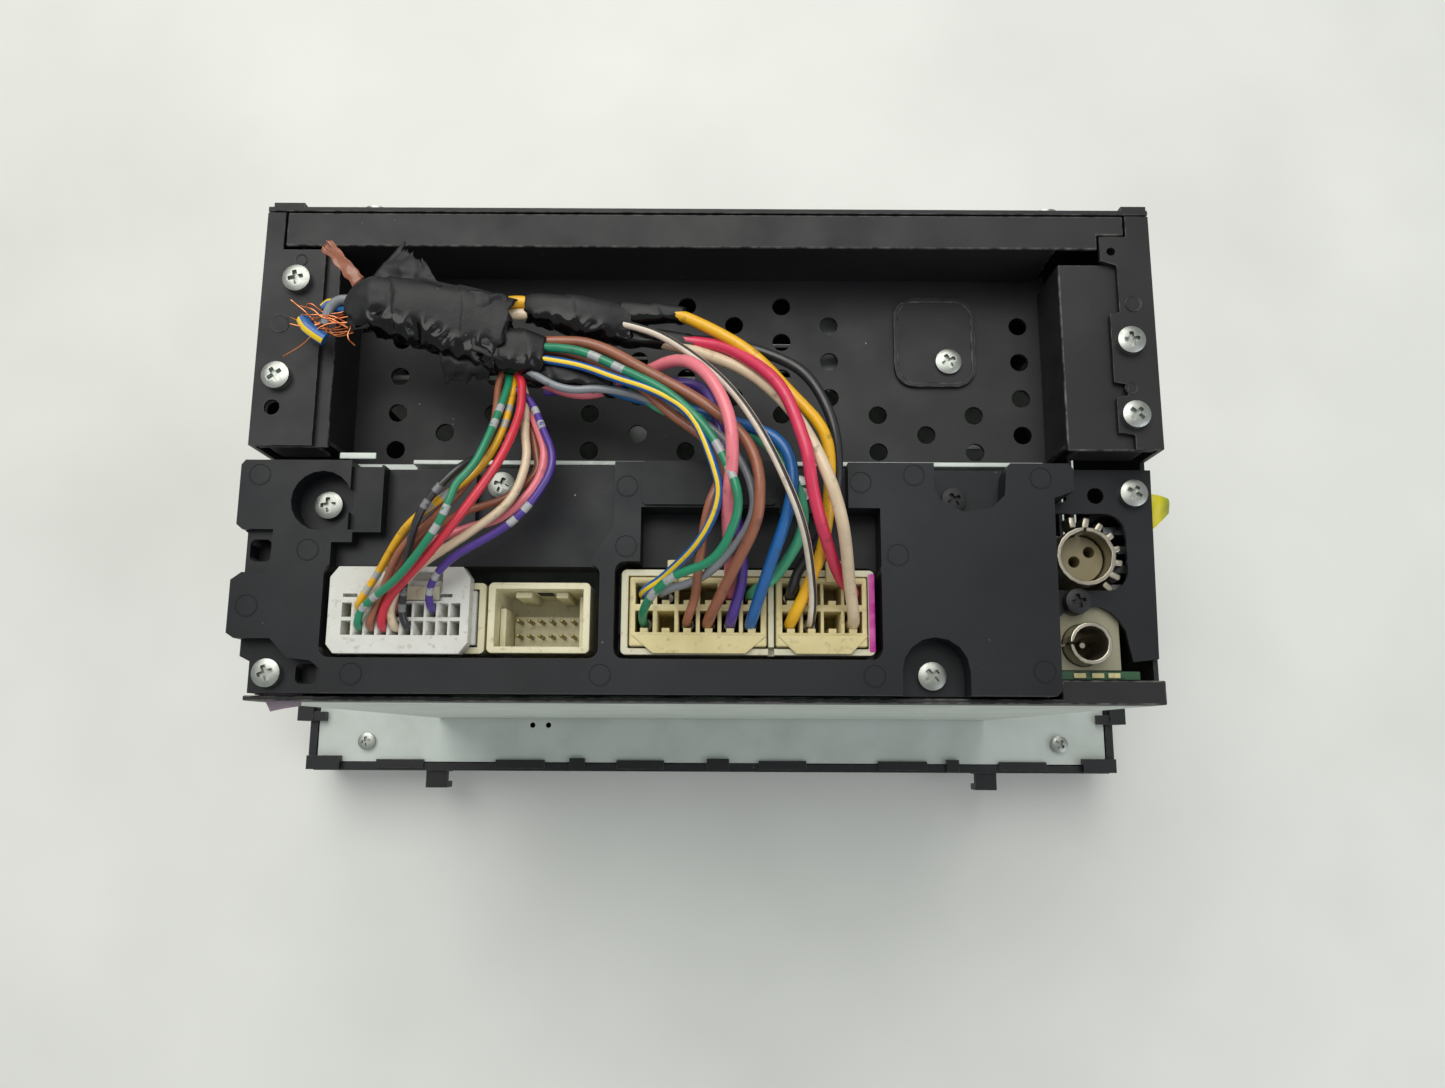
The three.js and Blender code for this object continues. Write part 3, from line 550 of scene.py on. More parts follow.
# %% Wires of the six-column plug
six = "wires_to_6column"
wire("wire_green_marked", "green_banded", 1.7, [
    (-12, -34.5, -8), (-11, -31.5, 1.5), (-6, -27.6, 7.5), (2, -24.5, 12), (6, -16.5, 15.5), (5, -10.5, 16),
    (0.5, -1.5, 14.5), (-7, 6.5, 12), (-17, 12.7, 8.8), (-24.7, 16.4, 7.4), (-34, 18.2, 5)], six)
wire("wire_blue_yellow", "blue_yellow", 1.7, [
    (-12, -29, -8), (-8, -26.5, 0.5), (-1, -21, 9), (2.5, -14, 13), (1.5, -7.5, 14), (-2.5, 1.5, 13.5),
    (-9, 6.8, 11.2), (-17, 10.4, 8.8), (-24.6, 13.6, 7), (-34.5, 16, 5)], six)
wire("wire_grey", "grey", 1.6, [
    (-8, -29, -8), (0, -26.5, 3), (6.5, -20.5, 8.5), (9, -14, 10.5), (6.5, -6, 10.5), (0.5, 1, 9),
    (-12.5, 7.6, 6), (-20.3, 9.4, 5.4), (-26.5, 9.2, 5.6), (-30.3, 10.6, 5.6), (-35, 13.4, 4.6)], six)
wire("wire_brown_thin", "brown", 1.8, [
    (-3.5, -34.5, -8), (-2, -30.5, -0.5), (-1, -24, 6), (0.5, -15.5, 10), (2.5, -10, 10.5), (3, -6, 10.5),
    (0, -2, 10.5), (-7, 3.8, 8.5), (-14.5, 10.8, 6.4), (-26, 16.8, 4), (-34, 18, 3.5)], six)
wire("wire_brown_thick", "brown", 2.2, [
    (0.7, -34.5, -8), (5, -26.5, 5.5), (9, -19, 11), (10, -14, 13), (9.5, -7.5, 13.5), (6.5, -1.5, 13),
    (-1, 5, 12), (-12, 12.2, 9), (-18, 16.2, 7), (-23, 18.4, 6), (-28, 19.2, 5),
    (-35, 19.4, 4)], six)
wire("wire_purple", "purple", 2.1, [
    (5, -34.5, -8), (7, -27, 2), (6.5, -20, 7), (4.5, -10, 9), (3, -0.5, 9), (1, 6, 8),
    (-2, 10, 6), (-10.5, 11.2, 4), (-20, 10.8, 1.2), (-32, 10.6, 0.8)], six)
wire("wire_blue", "blue", 2.3, [
    (9, -34.5, -8), (12.5, -24, 6), (15.5, -15, 10.5), (16, -7.5, 11.5), (12.5, -1.5, 11), (0.5, 4, 6.5),
    (-12.8, 8, 4), (-18.5, 9.8, 3.8), (-24, 11.6, 3.4)], six)
wire("wire_pink", "pink", 2.4, [
    (4.9, -28.6, -8), (4.8, -24, 1), (4.2, -15.5, 11.5), (5, -6.5, 16.8), (4, 1.5, 17.2), (0, 9.5, 14.6),
    (-5.5, 13.6, 10), (-13.4, 12.8, 3.4), (-20, 10.4, 2), (-26, 9.8, 2), (-34, 12.5, 2.4)], six)
wire("wire_light_green", "light_green", 2.1, [
    (9.2, -29, -8), (13.5, -26, -1.2), (18, -19, 6), (17.5, -12, 9), (12, -3, 9), (4, 3, 7),
    (-6, 4.6, 5.4), (-10.9, 7.3, 4.8), (-13.8, 10.2, 4.2), (-18, 13, 3.4), (-26, 15, 3)], six)

# %% Wires of the four-column plug
four = "wires_to_4column"
wire("wire_yellow", "yellow", 2.3, [
    (16.7, -34.5, -8), (19.5, -28.5, 0.5), (22.2, -21, 4.8), (23.2, -11.5, 8.2), (22.4, -1, 10),
    (15.8, 7.5, 10),
    (7.5, 16.5, 8.6), (-4.5, 24.6, 4.5), (-11, 26, 3)], four)
wire("wire_black", "black", 2.1, [
    (16.7, -29, -8), (18, -25, -1), (22.5, -18, 2.2), (25, -9.5, 5), (24.3, 2, 6.6), (19.6, 12, 5.6),
    (12, 17, 4.5), (3, 19.6, 3.5), (-6, 20.6, 2.6)], four)
wire("wire_white_striped", "white_black", 1.6, [
    (20.5, -34.5, -8), (20.5, -29.5, 1.5), (18.5, -20.5, 11), (15, -11.5, 15), (9, 0.5, 14.5), (2, 10.5, 11),
    (-7.5, 19, 7), (-14.5, 22.6, 4.6), (-19.5, 24, 3)], four)
wire("wire_crimson", "crimson", 2.4, [
    (28.6, -29, -8), (25.4, -26, 2), (21.6, -19, 11.5), (19.5, -12, 15), (18, -4, 16.2), (13.5, 8, 13),
    (5, 16.6, 7.4), (-1.5, 19.2, 4.6), (-8, 20.6, 3)], four)
wire("wire_beige", "beige", 2.4, [
    (28.7, -34.5, -8), (27.3, -28, 3.5), (25, -18, 13), (21.5, -8, 15.4), (16, 3, 12.5), (8, 12, 8),
    (-2, 17.4, 4.6), (-8.5, 19.8, 2.8)], four)

# %% Wires of the white plug
twenty = "wires_to_20way"
wire("wire_w_green", "green_banded", 1.5, [
    (-66.3, -36, -6), (-64.5, -32.5, 1.5), (-56, -27.5, 8.5), (-48.5, -19, 12.8), (-45, -11, 13.5),
    (-42.5, -8, 13), (-40, 0, 10), (-38.5, 9.5, 5), (-38.5, 13, 3)], twenty)
wire("wire_w_yellow", "yellow_banded", 1.5, [
    (-66.3, -32.2, -6), (-62.5, -26.5, 1.5), (-55.5, -18.5, 8), (-48.5, -13, 9.5), (-42, -7.5, 9.5),
    (-38.5, 0.5, 7.5), (-37.5, 10.5, 3.5), (-37.5, 13.5, 2.5)], twenty)
wire("wire_w_brown", "brown", 1.5, [
    (-64, -36, -6), (-62, -31.5, 1), (-57, -23, 6.5), (-51, -17, 8), (-44.5, -10, 8.5),
    (-40.5, 0.5, 7.5), (-40.5, 10.5, 3.5), (-40, 13.5, 3)], twenty)
wire("wire_w_red", "red", 1.7, [
    (-61.7, -36, -6), (-59.5, -31, 2.5), (-50.5, -23.5, 9.5), (-43.5, -15, 11.5), (-38, -6, 11),
    (-35.5, 3.5, 7.5), (-35.8, 10.5, 4.8), (-37, 13.5, 3.5)], twenty)
wire("wire_w_beige", "beige", 1.7, [
    (-59.4, -36, -6), (-59.4, -31.5, 1), (-53.5, -25.5, 5.5), (-44, -19.5, 7.5), (-36.5, -13.5, 8.5),
    (-33.8, -6, 8), (-34.5, 0.5, 6), (-35, 7.5, 4), (-36.5, 12, 2)], twenty)
wire("wire_w_black", "black_banded", 1.5, [
    (-57.1, -36, -6), (-57.5, -32, 1), (-54, -21, 9.5), (-51, -14.5, 11.5), (-45.5, -8, 11.3),
    (-40.5, -3, 6), (-37, 2, 4.5), (-36, 7.5, 2.5), (-37, 12, 1.5)], twenty)
wire("wire_w_purple", "purple_banded", 1.5, [
    (-52.5, -32.5, -6), (-51.8, -28.5, 2.5), (-47, -24, 6.5), (-36, -18, 9.5), (-30, -11, 10.5),
    (-28.5, -5.5, 10), (-31, 1, 7.5), (-34, 7, 4.8), (-38.5, 11, 3)], twenty)
wire("wire_w_pink", "pink", 1.7, [
    (-59.4, -32.3, -6), (-53, -22, 4.5), (-45.5, -18.5, 5.8), (-38, -16, 6.5), (-32, -10, 7),
    (-30.5, -4, 7), (-32.5, 2, 5), (-34.5, 6.5, 3), (-37, 11, 2)], twenty)
wire("wire_w_brown_two", "brown", 1.5, [
    (-61.7, -32.3, -6), (-55, -21.5, 4), (-47, -15.8, 5.8), (-38, -12.5, 6), (-32.5, -7.5, 5.2),
    (-32.3, -4, 5), (-33.5, 1, 3.5), (-35.5, 6.5, 2), (-38.5, 10.5, 1)], twenty)
print(len(wires), "wires")

# %% [markdown]
# ## Floor and light
# A plain pale table with a faint gloss, under a large soft light from above and a paler one from the
# camera's side.

# %% Floor and light
bpy.ops.object.select_all(action="DESELECT")
bpy.ops.mesh.primitive_plane_add(size=6, location=(0, 0, 0))
floor = bpy.context.object
floor.name = "floor"
table_top, table_shader, table_place = start_finish("pale_table", Roughness=0.32, Specular_IOR_Level=0.4)
table_tint = blend_colour(table_top, spread(table_top, grain(table_top, table_place, 90, 3), 0.35, 0.7),
                          linear("#e9ebe5"), linear("#e0e2dc"))
feed(table_top, table_shader, "Base Color", table_tint)
rough_skin(table_top, table_shader, grain(table_top, table_place, 12, 2), 0.15)
floor.data.materials.append(table_top)


def soft_light(name, place, aim, size, watts, colour):
    lamp = bpy.data.lights.new(name, "AREA")
    lamp.shape = "DISK"
    lamp.size = size
    lamp.energy = watts
    lamp.color = linear(colour)[:3]
    holder = bpy.data.objects.new(name, lamp)
    holder.location = place
    holder.rotation_euler = (Vector(aim) - Vector(place)).to_track_quat("-Z", "Y").to_euler()
    bpy.context.scene.collection.objects.link(holder)


soft_light("ceiling_light", (-0.2, 0.6, 1.15), (0, 0, 0.1), 1.2, 11, "#fffdf8")
soft_light("window_light", (0.9, -0.5, 1.0), (0, 0, 0.1), 0.9, 3, "#f2f6ff")
world = bpy.data.worlds.new("studio")
world.use_nodes = True
world.node_tree.nodes["Background"].inputs["Color"].default_value = linear("#eef0f0")
world.node_tree.nodes["Background"].inputs["Strength"].default_value = 0.5
bpy.context.scene.world = world
bpy.context.scene.view_settings.view_transform = "Standard"

# %% [markdown]
# ## Finishes: steel, plastic and nylon
# The chassis is sheet steel with a thin black coat, which is slightly pebbled and dull. The rear cover is
# moulded black plastic, bluer and smoother. Galvanised steel shows crystals of zinc; screws are zinc
# plated and brighter. The plugs are nylon, which lets a little light in, so that their edges glow.

# %% Finishes of the housings
black_steel = coated("black_coated_steel", "#1d1d1f", "#29292b", 0.48, 0.45, 0.03, 0.5,
                     Specular_IOR_Level=0.34)
black_cover = coated("moulded_black_plastic", "#141619", "#1d2024", 0.44, 0.3, 0.02, 0.7,
                     IOR=1.52, Specular_IOR_Level=0.28)
face_plastic = coated("satin_black_abs", "#151618", "#1f2023", 0.4, 0.25, 0.015, 0.3,
                      IOR=1.54, Specular_IOR_Level=0.36)
key_plastic = coated("silver_painted_abs", "#85888c", "#94979a", 0.34, 0.2, 0.01, 0.2, Metallic=0.35)
soft_rubber = coated("moulded_rubber", "#17171a", "#222225", 0.7, 0.3, 0.02, 0.4)
zinc_sheet = bare_metal("galvanised_sheet", "#c9d1cb", "#bec6bf", 0.5, 3.0, 0.3)
zinc_screw = bare_metal("zinc_plated_screw", "#aeb2ac", "#8f938c", 0.36, 1.2)
tin_plate = bare_metal("tinned_steel", "#b5afa0", "#948d79", 0.34, 2.0)
plain_aluminium = bare_metal("plain_aluminium", "#b9bbbe", "#9b9da0", 0.34, 1.5)
tinned_brass = bare_metal("tinned_brass", "#8f8355", "#7b7049", 0.42, 1.0)
dull_tin = bare_metal("dull_tinned_steel", "#97947d", "#838069", 0.5, 2.0, 0.5)


def nylon(name, colour, deep, glow):
    mat, shader, place = start_finish(name, IOR=1.53, Subsurface_Weight=0.12, Subsurface_Scale=0.002)
    shader.inputs["Subsurface Radius"].default_value = glow
    cloud = spread(mat, grain(mat, place, 7, 4), 0.42, 0.72, 0.0, 0.7)
    tint = blend_colour(mat, cloud, linear(colour), linear(deep))
    grime = times(mat, spread(mat, grain(mat, place, 1.4, 4), 0.58, 0.72, 0.0, 0.45), 1.0)
    tint = blend_colour(mat, grime, tint, linear("#8d7f5c"))
    feed(mat, shader, "Base Color", tint)
    feed(mat, shader, "Roughness", spread(mat, grain(mat, place, 5), 0.3, 0.7, 0.38, 0.52))
    rough_skin(mat, shader, grain(mat, place, 0.4, 2), 0.02)
    return mat


cream_nylon = nylon("cream_nylon", "#d3c692", "#c2b37c", (1.0, 0.8, 0.4))
pale_nylon = nylon("pale_nylon", "#d8d4ba", "#c8c3a4", (1.0, 0.9, 0.6))
pale_cream = nylon("pale_cream_nylon", "#e2dcba", "#d3cba4", (1.0, 0.85, 0.5))
white_nylon = nylon("white_nylon", "#d3d4cd", "#c6c6bd", (1.0, 0.95, 0.85))
aged_nylon = nylon("aged_nylon", "#857b5c", "#6a6248", (1.0, 0.85, 0.5))


def solder_mask(name):
    """Green lacquer over copper tracks: squared patches of lighter and darker green."""
    mat, shader, place = start_finish(name, IOR=1.5, Roughness=0.38)
    tracks = add_node(mat, "ShaderNodeTexVoronoi", {"Vector": place, "Scale": 400.0}, distance="CHEBYCHEV")
    lines = spread(mat, tracks.outputs["Distance"], 0.3, 0.34)
    tint = blend_colour(mat, lines, linear("#183625"), linear("#2a5538"))
    feed(mat, shader, "Base Color", tint)
    rough_skin(mat, shader, lines, 0.03)
    return mat


def smoked_lens(name):
    mat, shader, place = start_finish(name, IOR=1.49, Coat_Weight=0.6, Coat_Roughness=0.04)
    tint = blend_colour(mat, grain(mat, place, 25, 2), linear("#0c0e11"), linear("#151a1f"))
    feed(mat, shader, "Base Color", tint)
    feed(mat, shader, "Roughness", spread(mat, grain(mat, place, 6), 0.3, 0.7, 0.05, 0.14))
    return mat


board_green = solder_mask("solder_mask")
lens_plastic = smoked_lens("smoked_acrylic")
print(len(bpy.data.materials), "materials so far")

# %% [markdown]
# ## The CAD pieces that keep their shape
# Each node gets its finish in its own slot. The mesh isn't touched: a material is all that it needs where
# its edges are never seen close up.

# %% Finishes on the CAD nodes
finish_of = {
    "black_steel": black_steel, "zinc_steel": zinc_sheet, "tin_plate": tin_plate,
    "black_plastic": black_cover,
    "face_plastic": face_plastic, "key_plastic": key_plastic, "smoked_lens": lens_plastic,
    "cream_nylon": cream_nylon, "white_nylon": white_nylon, "circuit_board": board_green,
    "rubber": soft_rubber,
    "pvc_tape": soft_rubber, "wire_pvc": insulation["grey"], "yellow_film": cream_nylon,
    "aluminium": plain_aluminium,
}
slot_of = {part["node"]: part["material_slot"] for part in frame["record"]["subparts"]}
body_of = {node: body for body, members in frame["record"]["behaviour"]["bodies"].items() for node in members}
for name, piece in nodes.items():
    piece.data.materials.clear()
    piece.data.materials.append(finish_of[slot_of[name]])
nodes["header_double"].data.materials[0] = pale_nylon
print("dressed", len(nodes), "nodes")

# %% [markdown]
# ## Modelling helpers
# Operators act on what is selected, so `alone` makes one piece the only selected and active one. `pick`
# selects the faces of a piece in edit mode by a test on their middle and normal. `cut_with` carves one
# shape out of another.


# %% Modelling helpers
def alone(piece):
    bpy.ops.object.select_all(action="DESELECT")
    piece.select_set(True)
    bpy.context.view_layer.objects.active = piece


def fresh(name):
    """Names the primitive that was just added."""
    piece = bpy.context.object
    piece.name = piece.data.name = name
    return piece


def edit(piece):
    alone(piece)
    bpy.ops.object.mode_set(mode="EDIT")
    bpy.ops.mesh.select_mode(type="FACE")
    bpy.ops.mesh.select_all(action="DESELECT")


def pick(piece, test):
    """Selects the faces whose middle (in millimetres from the rear flanges) and normal pass the test."""
    shape = bmesh.from_edit_mesh(piece.data)
    place = piece.matrix_world
    for face in shape.faces:
        middle = place @ face.calc_center_median()
        face.select_set(test(Vector((middle.x / MM, middle.y / MM, (middle.z - REAR) / MM)), face.normal))
    bmesh.update_edit_mesh(piece.data)


def pick_edges(piece, test):
    """Selects the edges whose two ends both pass the test."""
    bpy.ops.mesh.select_mode(type="EDGE")
    shape = bmesh.from_edit_mesh(piece.data)
    for edge in shape.edges:
        edge.select_set(test(edge.verts[0].co, edge.verts[1].co))
    bmesh.update_edit_mesh(piece.data)


def done(piece, smooth_degrees=35):
    """Leaves edit mode, puts the place into the mesh and smooths all but the real edges."""
    if bpy.context.mode != "OBJECT":
        bpy.ops.object.mode_set(mode="OBJECT")
    alone(piece)
    bpy.ops.object.transform_apply(location=True, rotation=True, scale=True)
    bpy.ops.object.shade_smooth_by_angle(angle=math.radians(smooth_degrees))
    even = piece.modifiers.new("even", "WEIGHTED_NORMAL")
    even.keep_sharp = True
    even.weight = 100
    bpy.ops.object.modifier_apply(modifier="even")
    return piece


def carry(piece, mat, slot, body="chassis", stands_for=()):
    """Dresses a finished piece and fixes it to its body."""
    piece.data.materials.clear()
    piece.data.materials.append(mat)
    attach(piece, body)
    if stands_for:
        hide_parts(*stands_for)
    return piece


def joined(pieces, name):
    bpy.ops.object.select_all(action="DESELECT")
    for piece in pieces:
        piece.select_set(True)
    bpy.context.view_layer.objects.active = pieces[0]
    bpy.ops.object.join()
    return fresh(name)


def brick(name, x0, x1, y0, y1, z0, z1, edge_mm=0.0):
    """A block from a cube primitive, with its edges bevelled in edit mode."""
    bpy.ops.object.select_all(action="DESELECT")
    bpy.ops.mesh.primitive_cube_add(size=1, location=at((x0 + x1) / 2, (y0 + y1) / 2, (z0 + z1) / 2))
    piece = fresh(name)
    piece.scale = ((x1 - x0) * MM, (y1 - y0) * MM, (z1 - z0) * MM)
    bpy.ops.object.transform_apply(location=True, rotation=True, scale=True)
    if edge_mm:
        edit(piece)
        bpy.ops.mesh.select_all(action="SELECT")
        bpy.ops.mesh.bevel(offset=edge_mm * MM, segments=2)
        bpy.ops.object.mode_set(mode="OBJECT")
    return piece


def peg(name, x, y, z0, z1, radius, sides=24):
    """A drum from a cylinder primitive, standing along Z."""
    bpy.ops.object.select_all(action="DESELECT")
    bpy.ops.mesh.primitive_cylinder_add(vertices=sides, radius=radius * MM, depth=(z1 - z0) * MM,
                                        location=at(x, y, (z0 + z1) / 2))
    piece = fresh(name)
    bpy.ops.object.transform_apply(location=True, rotation=True, scale=True)
    return piece


def cut_with(piece, cutters):
    """Carves all the cutters out of the piece and removes them."""
    cutter = joined(cutters, "cutter")
    alone(piece)
    carve = piece.modifiers.new("carve", "BOOLEAN")
    carve.operation = "DIFFERENCE"
    carve.solver = "EXACT"
    carve.use_self = True
    carve.object = cutter
    bpy.ops.object.modifier_apply(modifier="carve")
    bpy.data.objects.remove(cutter)
    return piece


def twin(node, name):
    """A copy of a CAD node's mesh with its loose triangles merged and its flat faces made whole."""
    piece = placed(name, nodes[node].data.copy())
    piece.data.name = name
    alone(piece)
    bpy.ops.object.mode_set(mode="EDIT")
    bpy.ops.mesh.select_all(action="SELECT")
    bpy.ops.mesh.remove_doubles(threshold=0.00001)
    bpy.ops.mesh.dissolve_limited(angle_limit=math.radians(2))
    bpy.ops.object.mode_set(mode="OBJECT")
    return piece


def soft_corners(piece, radius_mm):
    """Bevels the four upright edges at the outside of a block."""
    low_x, high_x = [farthest(v.co.x for v in piece.data.vertices) for farthest in (min, max)]
    low_y, high_y = [farthest(v.co.y for v in piece.data.vertices) for farthest in (min, max)]

    def on_corner(point):
        return min(point.x - low_x, high_x - point.x) < 1e-5 and min(point.y - low_y, high_y - point.y) < 1e-5

    edit(piece)
    pick_edges(piece, lambda first, second: on_corner(first) and on_corner(second))
    bpy.ops.mesh.bevel(offset=radius_mm * MM, segments=5)
    bpy.ops.object.mode_set(mode="OBJECT")
    return piece


def rounded(piece, radius_mm, segments=2):
    """Bevels the sharp edges in edit mode, and marks the new strips as worn for the finish to read."""
    alone(piece)
    bpy.ops.object.mode_set(mode="EDIT")
    bpy.ops.mesh.select_mode(type="EDGE")
    bpy.ops.mesh.select_all(action="DESELECT")
    bpy.ops.mesh.edges_select_sharp(sharpness=math.radians(32))
    bpy.ops.mesh.bevel(offset=radius_mm * MM, segments=segments, clamp_overlap=True)
    bpy.ops.object.mode_set(mode="OBJECT")
    strip = piece.data.attributes.new("worn", "FLOAT", "FACE")
    widest = (1.3 * radius_mm * MM)
    for face in piece.data.polygons:
        corners = [piece.data.vertices[i].co for i in face.vertices]
        shortest = min((a - b).length for a, b in zip(corners, corners[1:] + corners[:1]))
        strip.data[face.index].value = 1.0 if shortest < widest and len(corners) <= 4 else 0.0
    return piece


# %% [markdown]
# ## Rounded edges on the housings
# Real sheet metal and moulded plastic have no knife edges: a bend is as round as the sheet is thick, and
# a mould's corner has a small radius. That thin strip catches the light and makes the shape readable, so
# the seen pieces are copies with bevelled edges. The bevel's own strips are remembered in an attribute,
# and the coating is worn there.

# %% Rounded housings
edge_radius = {
    "top_rail": 0.35, "rear_bracket_left": 0.35, "rear_bracket_right": 0.35, "recess_plate": 0.2,
    "side_plate_left": 0.25, "side_plate_right": 0.25, "top_cover": 0.25, "bottom_cover": 0.25,
    "bottom_lip": 0.3,
    "front_plate": 0.2, "front_bezel": 0.5, "antenna_plate": 0.3, "lower_rear_wall": 0.2,
    "volume_knob": 0.4, "tune_knob": 0.4, "seek_rocker": 0.5, "display_lens": 0.3, "slot_flap": 0.2,
}
edge_radius.update({node: 0.5 for node in nodes if node.endswith("_key") or node.startswith("preset_key")})
for node, radius in edge_radius.items():
    shell = done(rounded(twin(node, node + "_shell"), radius))
    carry(shell, finish_of[slot_of[node]], slot_of[node], body_of[node], [node])
    print(node, len(shell.data.polygons), "faces")

# %% [markdown]
# ## Bosses and a folded tab
# Between the flange screws the steel is pushed up into small bosses with a dimple in the middle. Each is
# a short drum with its face inset and sunk. A folded tab of the galvanised wall comes out beside the left
# bracket's foot.

# %% Bosses and tab
bosses = []
for x, y, radius in ((-85.7, 24.6, 1.9), (-82.4, 38.3, 1.3), (85.8, 29.7, 1.7), (84.3, 12.0, 1.3)):
    boss = peg("boss", x, y, -0.4, 0.22, radius, 28)
    edit(boss)
    pick(boss, lambda middle, normal: normal.z > 0.9)
    bpy.ops.mesh.inset(thickness=0.42 * radius * MM)
    bpy.ops.transform.translate(value=(0, 0, -0.35 * MM))
    bpy.ops.object.mode_set(mode="OBJECT")
    bosses.append(rounded(boss, 0.12))
carry(done(joined(bosses, "flange_bosses")), black_steel, "black_steel")
carry(done(brick("wall_tab", -73.3, -66, -2.2, -0.9, -4.5, -4, 0.2)), zinc_sheet, "zinc_steel")

# %% [markdown]
# ## Embossed pad and what shows through the holes
# A pad with rounded corners is pressed into the recess plate. It's a block whose upright edges are
# bevelled widely, and its top is inset and sunk. Behind a few of the holes lie galvanised parts of the
# mechanism.

# %% Embossed pad
pad = brick("embossed_pad", 39.9, 57.4, 17.2, 37.2, -16.1, -15)
edit(pad)
pick_edges(pad, lambda first, second: abs(first.z - second.z) > 0.5 * MM)
bpy.ops.mesh.bevel(offset=4.6 * MM, segments=8, affect="EDGES")
bpy.ops.object.mode_set(mode="OBJECT")
edit(pad)
pick(pad, lambda middle, normal: normal.z > 0.9)
bpy.ops.mesh.inset(thickness=0.9 * MM)
bpy.ops.mesh.inset(thickness=0.5 * MM)
bpy.ops.transform.translate(value=(0, 0, -0.9 * MM))
bpy.ops.mesh.inset(thickness=0.6 * MM)
bpy.ops.mesh.inset(thickness=0.5 * MM)
bpy.ops.transform.translate(value=(0, 0, 0.4 * MM))
bpy.ops.object.mode_set(mode="OBJECT")
carry(done(rounded(pad, 0.16), 40), black_steel, "black_steel")
behind = [
    brick("behind", 20.5, 31.5, 18.5, 36, -23, -22), brick("behind", -19.5, -10, 2.5, 10.5, -23, -22),
    brick("behind", 52.5, 61.5, 5.5, 10.4, -23, -22),
]
carry(done(joined(behind, "parts_behind_holes")), zinc_sheet, "zinc_steel")

# %% [markdown]
# ## Knob grips
# Each knob has a ribbed grip around its rim and a pale line on its face that shows how far it's turned.
# The ribs come from a drum with many sides, of which every second corner is drawn in.

# %% Knob grips
for word in ("volume", "tune"):
    low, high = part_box(word + "_knob")
    centre = (low + high) / 2
    x, y = centre.x / MM, centre.y / MM
    front = (low.z - REAR) / MM
    grip = peg("grip", x, y, front + 1.9, front + 6.6, 17.4, 144)
    for vert in grip.data.vertices:
        if round(math.atan2(vert.co.y - centre.y, vert.co.x - centre.x) / (2 * math.pi / 144)) % 2:
            vert.co.x = centre.x + (vert.co.x - centre.x) * 0.975
            vert.co.y = centre.y + (vert.co.y - centre.y) * 0.975
    grip.name = grip.data.name = word + "_grip"
    carry(done(grip, 20), soft_rubber, "rubber", body_of[word + "_knob"])
    line = brick(word + "_line", x - 0.5, x + 0.5, y + 11.4, y + 15.2, front - 0.06, front + 0.4, 0.05)
    carry(done(line), pale_nylon, "cream_nylon", body_of[word + "_knob"])

# %% [markdown]
# ## The rear cover
# A moulded cover shows how it was made: the pins that push it out of its mould leave shallow round marks
# on its face. Each mark is a thin ring that stands a tenth of a millimetre proud. It's one circle with an
# inset, copied to places.

# %% Rear cover
cover = done(rounded(twin("rear_cover", "rear_cover_shell"), 0.35, 3))
carry(cover, black_cover, "black_plastic", "chassis", ["rear_cover"])


def ejector_mark(x, y, z):
    bpy.ops.object.select_all(action="DESELECT")
    bpy.ops.mesh.primitive_cylinder_add(vertices=28, radius=2.2 * MM, depth=0.3 * MM, location=at(x, y, z))
    mark = fresh("mark")
    edit(mark)
    pick(mark, lambda middle, normal: normal.z > 0.9)
    bpy.ops.mesh.inset(thickness=0.14 * MM)
    bpy.ops.mesh.inset(thickness=0.12 * MM)
    bpy.ops.transform.translate(value=(0, 0, -0.12 * MM))
    return done(mark)


COVER_FACE = (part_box("rear_cover")[1].z - REAR) / MM - 0.7
marks = [ejector_mark(x, y, COVER_FACE - 0.02) for x, y in (
    (-88, -6), (-77.5, -21), (-88.5, -32), (-67.5, -45), (-20, -45), (-15.5, -8), (-15.5, -20), (30.5, -7),
    (41, -5.5), (37.5, -21.5), (32.5, -45), (66, -6), (65, -44))]
carry(joined(marks, "ejector_marks"), black_cover, "black_plastic")
print("cover face at", round(COVER_FACE, 2))

# %% [markdown]
# ## Screws
# A pan-head screw is a drum with a domed top and a cross-shaped recess. The cross comes from the top
# face: it's inset, the points of the inset ring are moved in to a cross, and the face is pushed down. One
# screw is modelled, and every screw on the radio is a copy with its own turn.


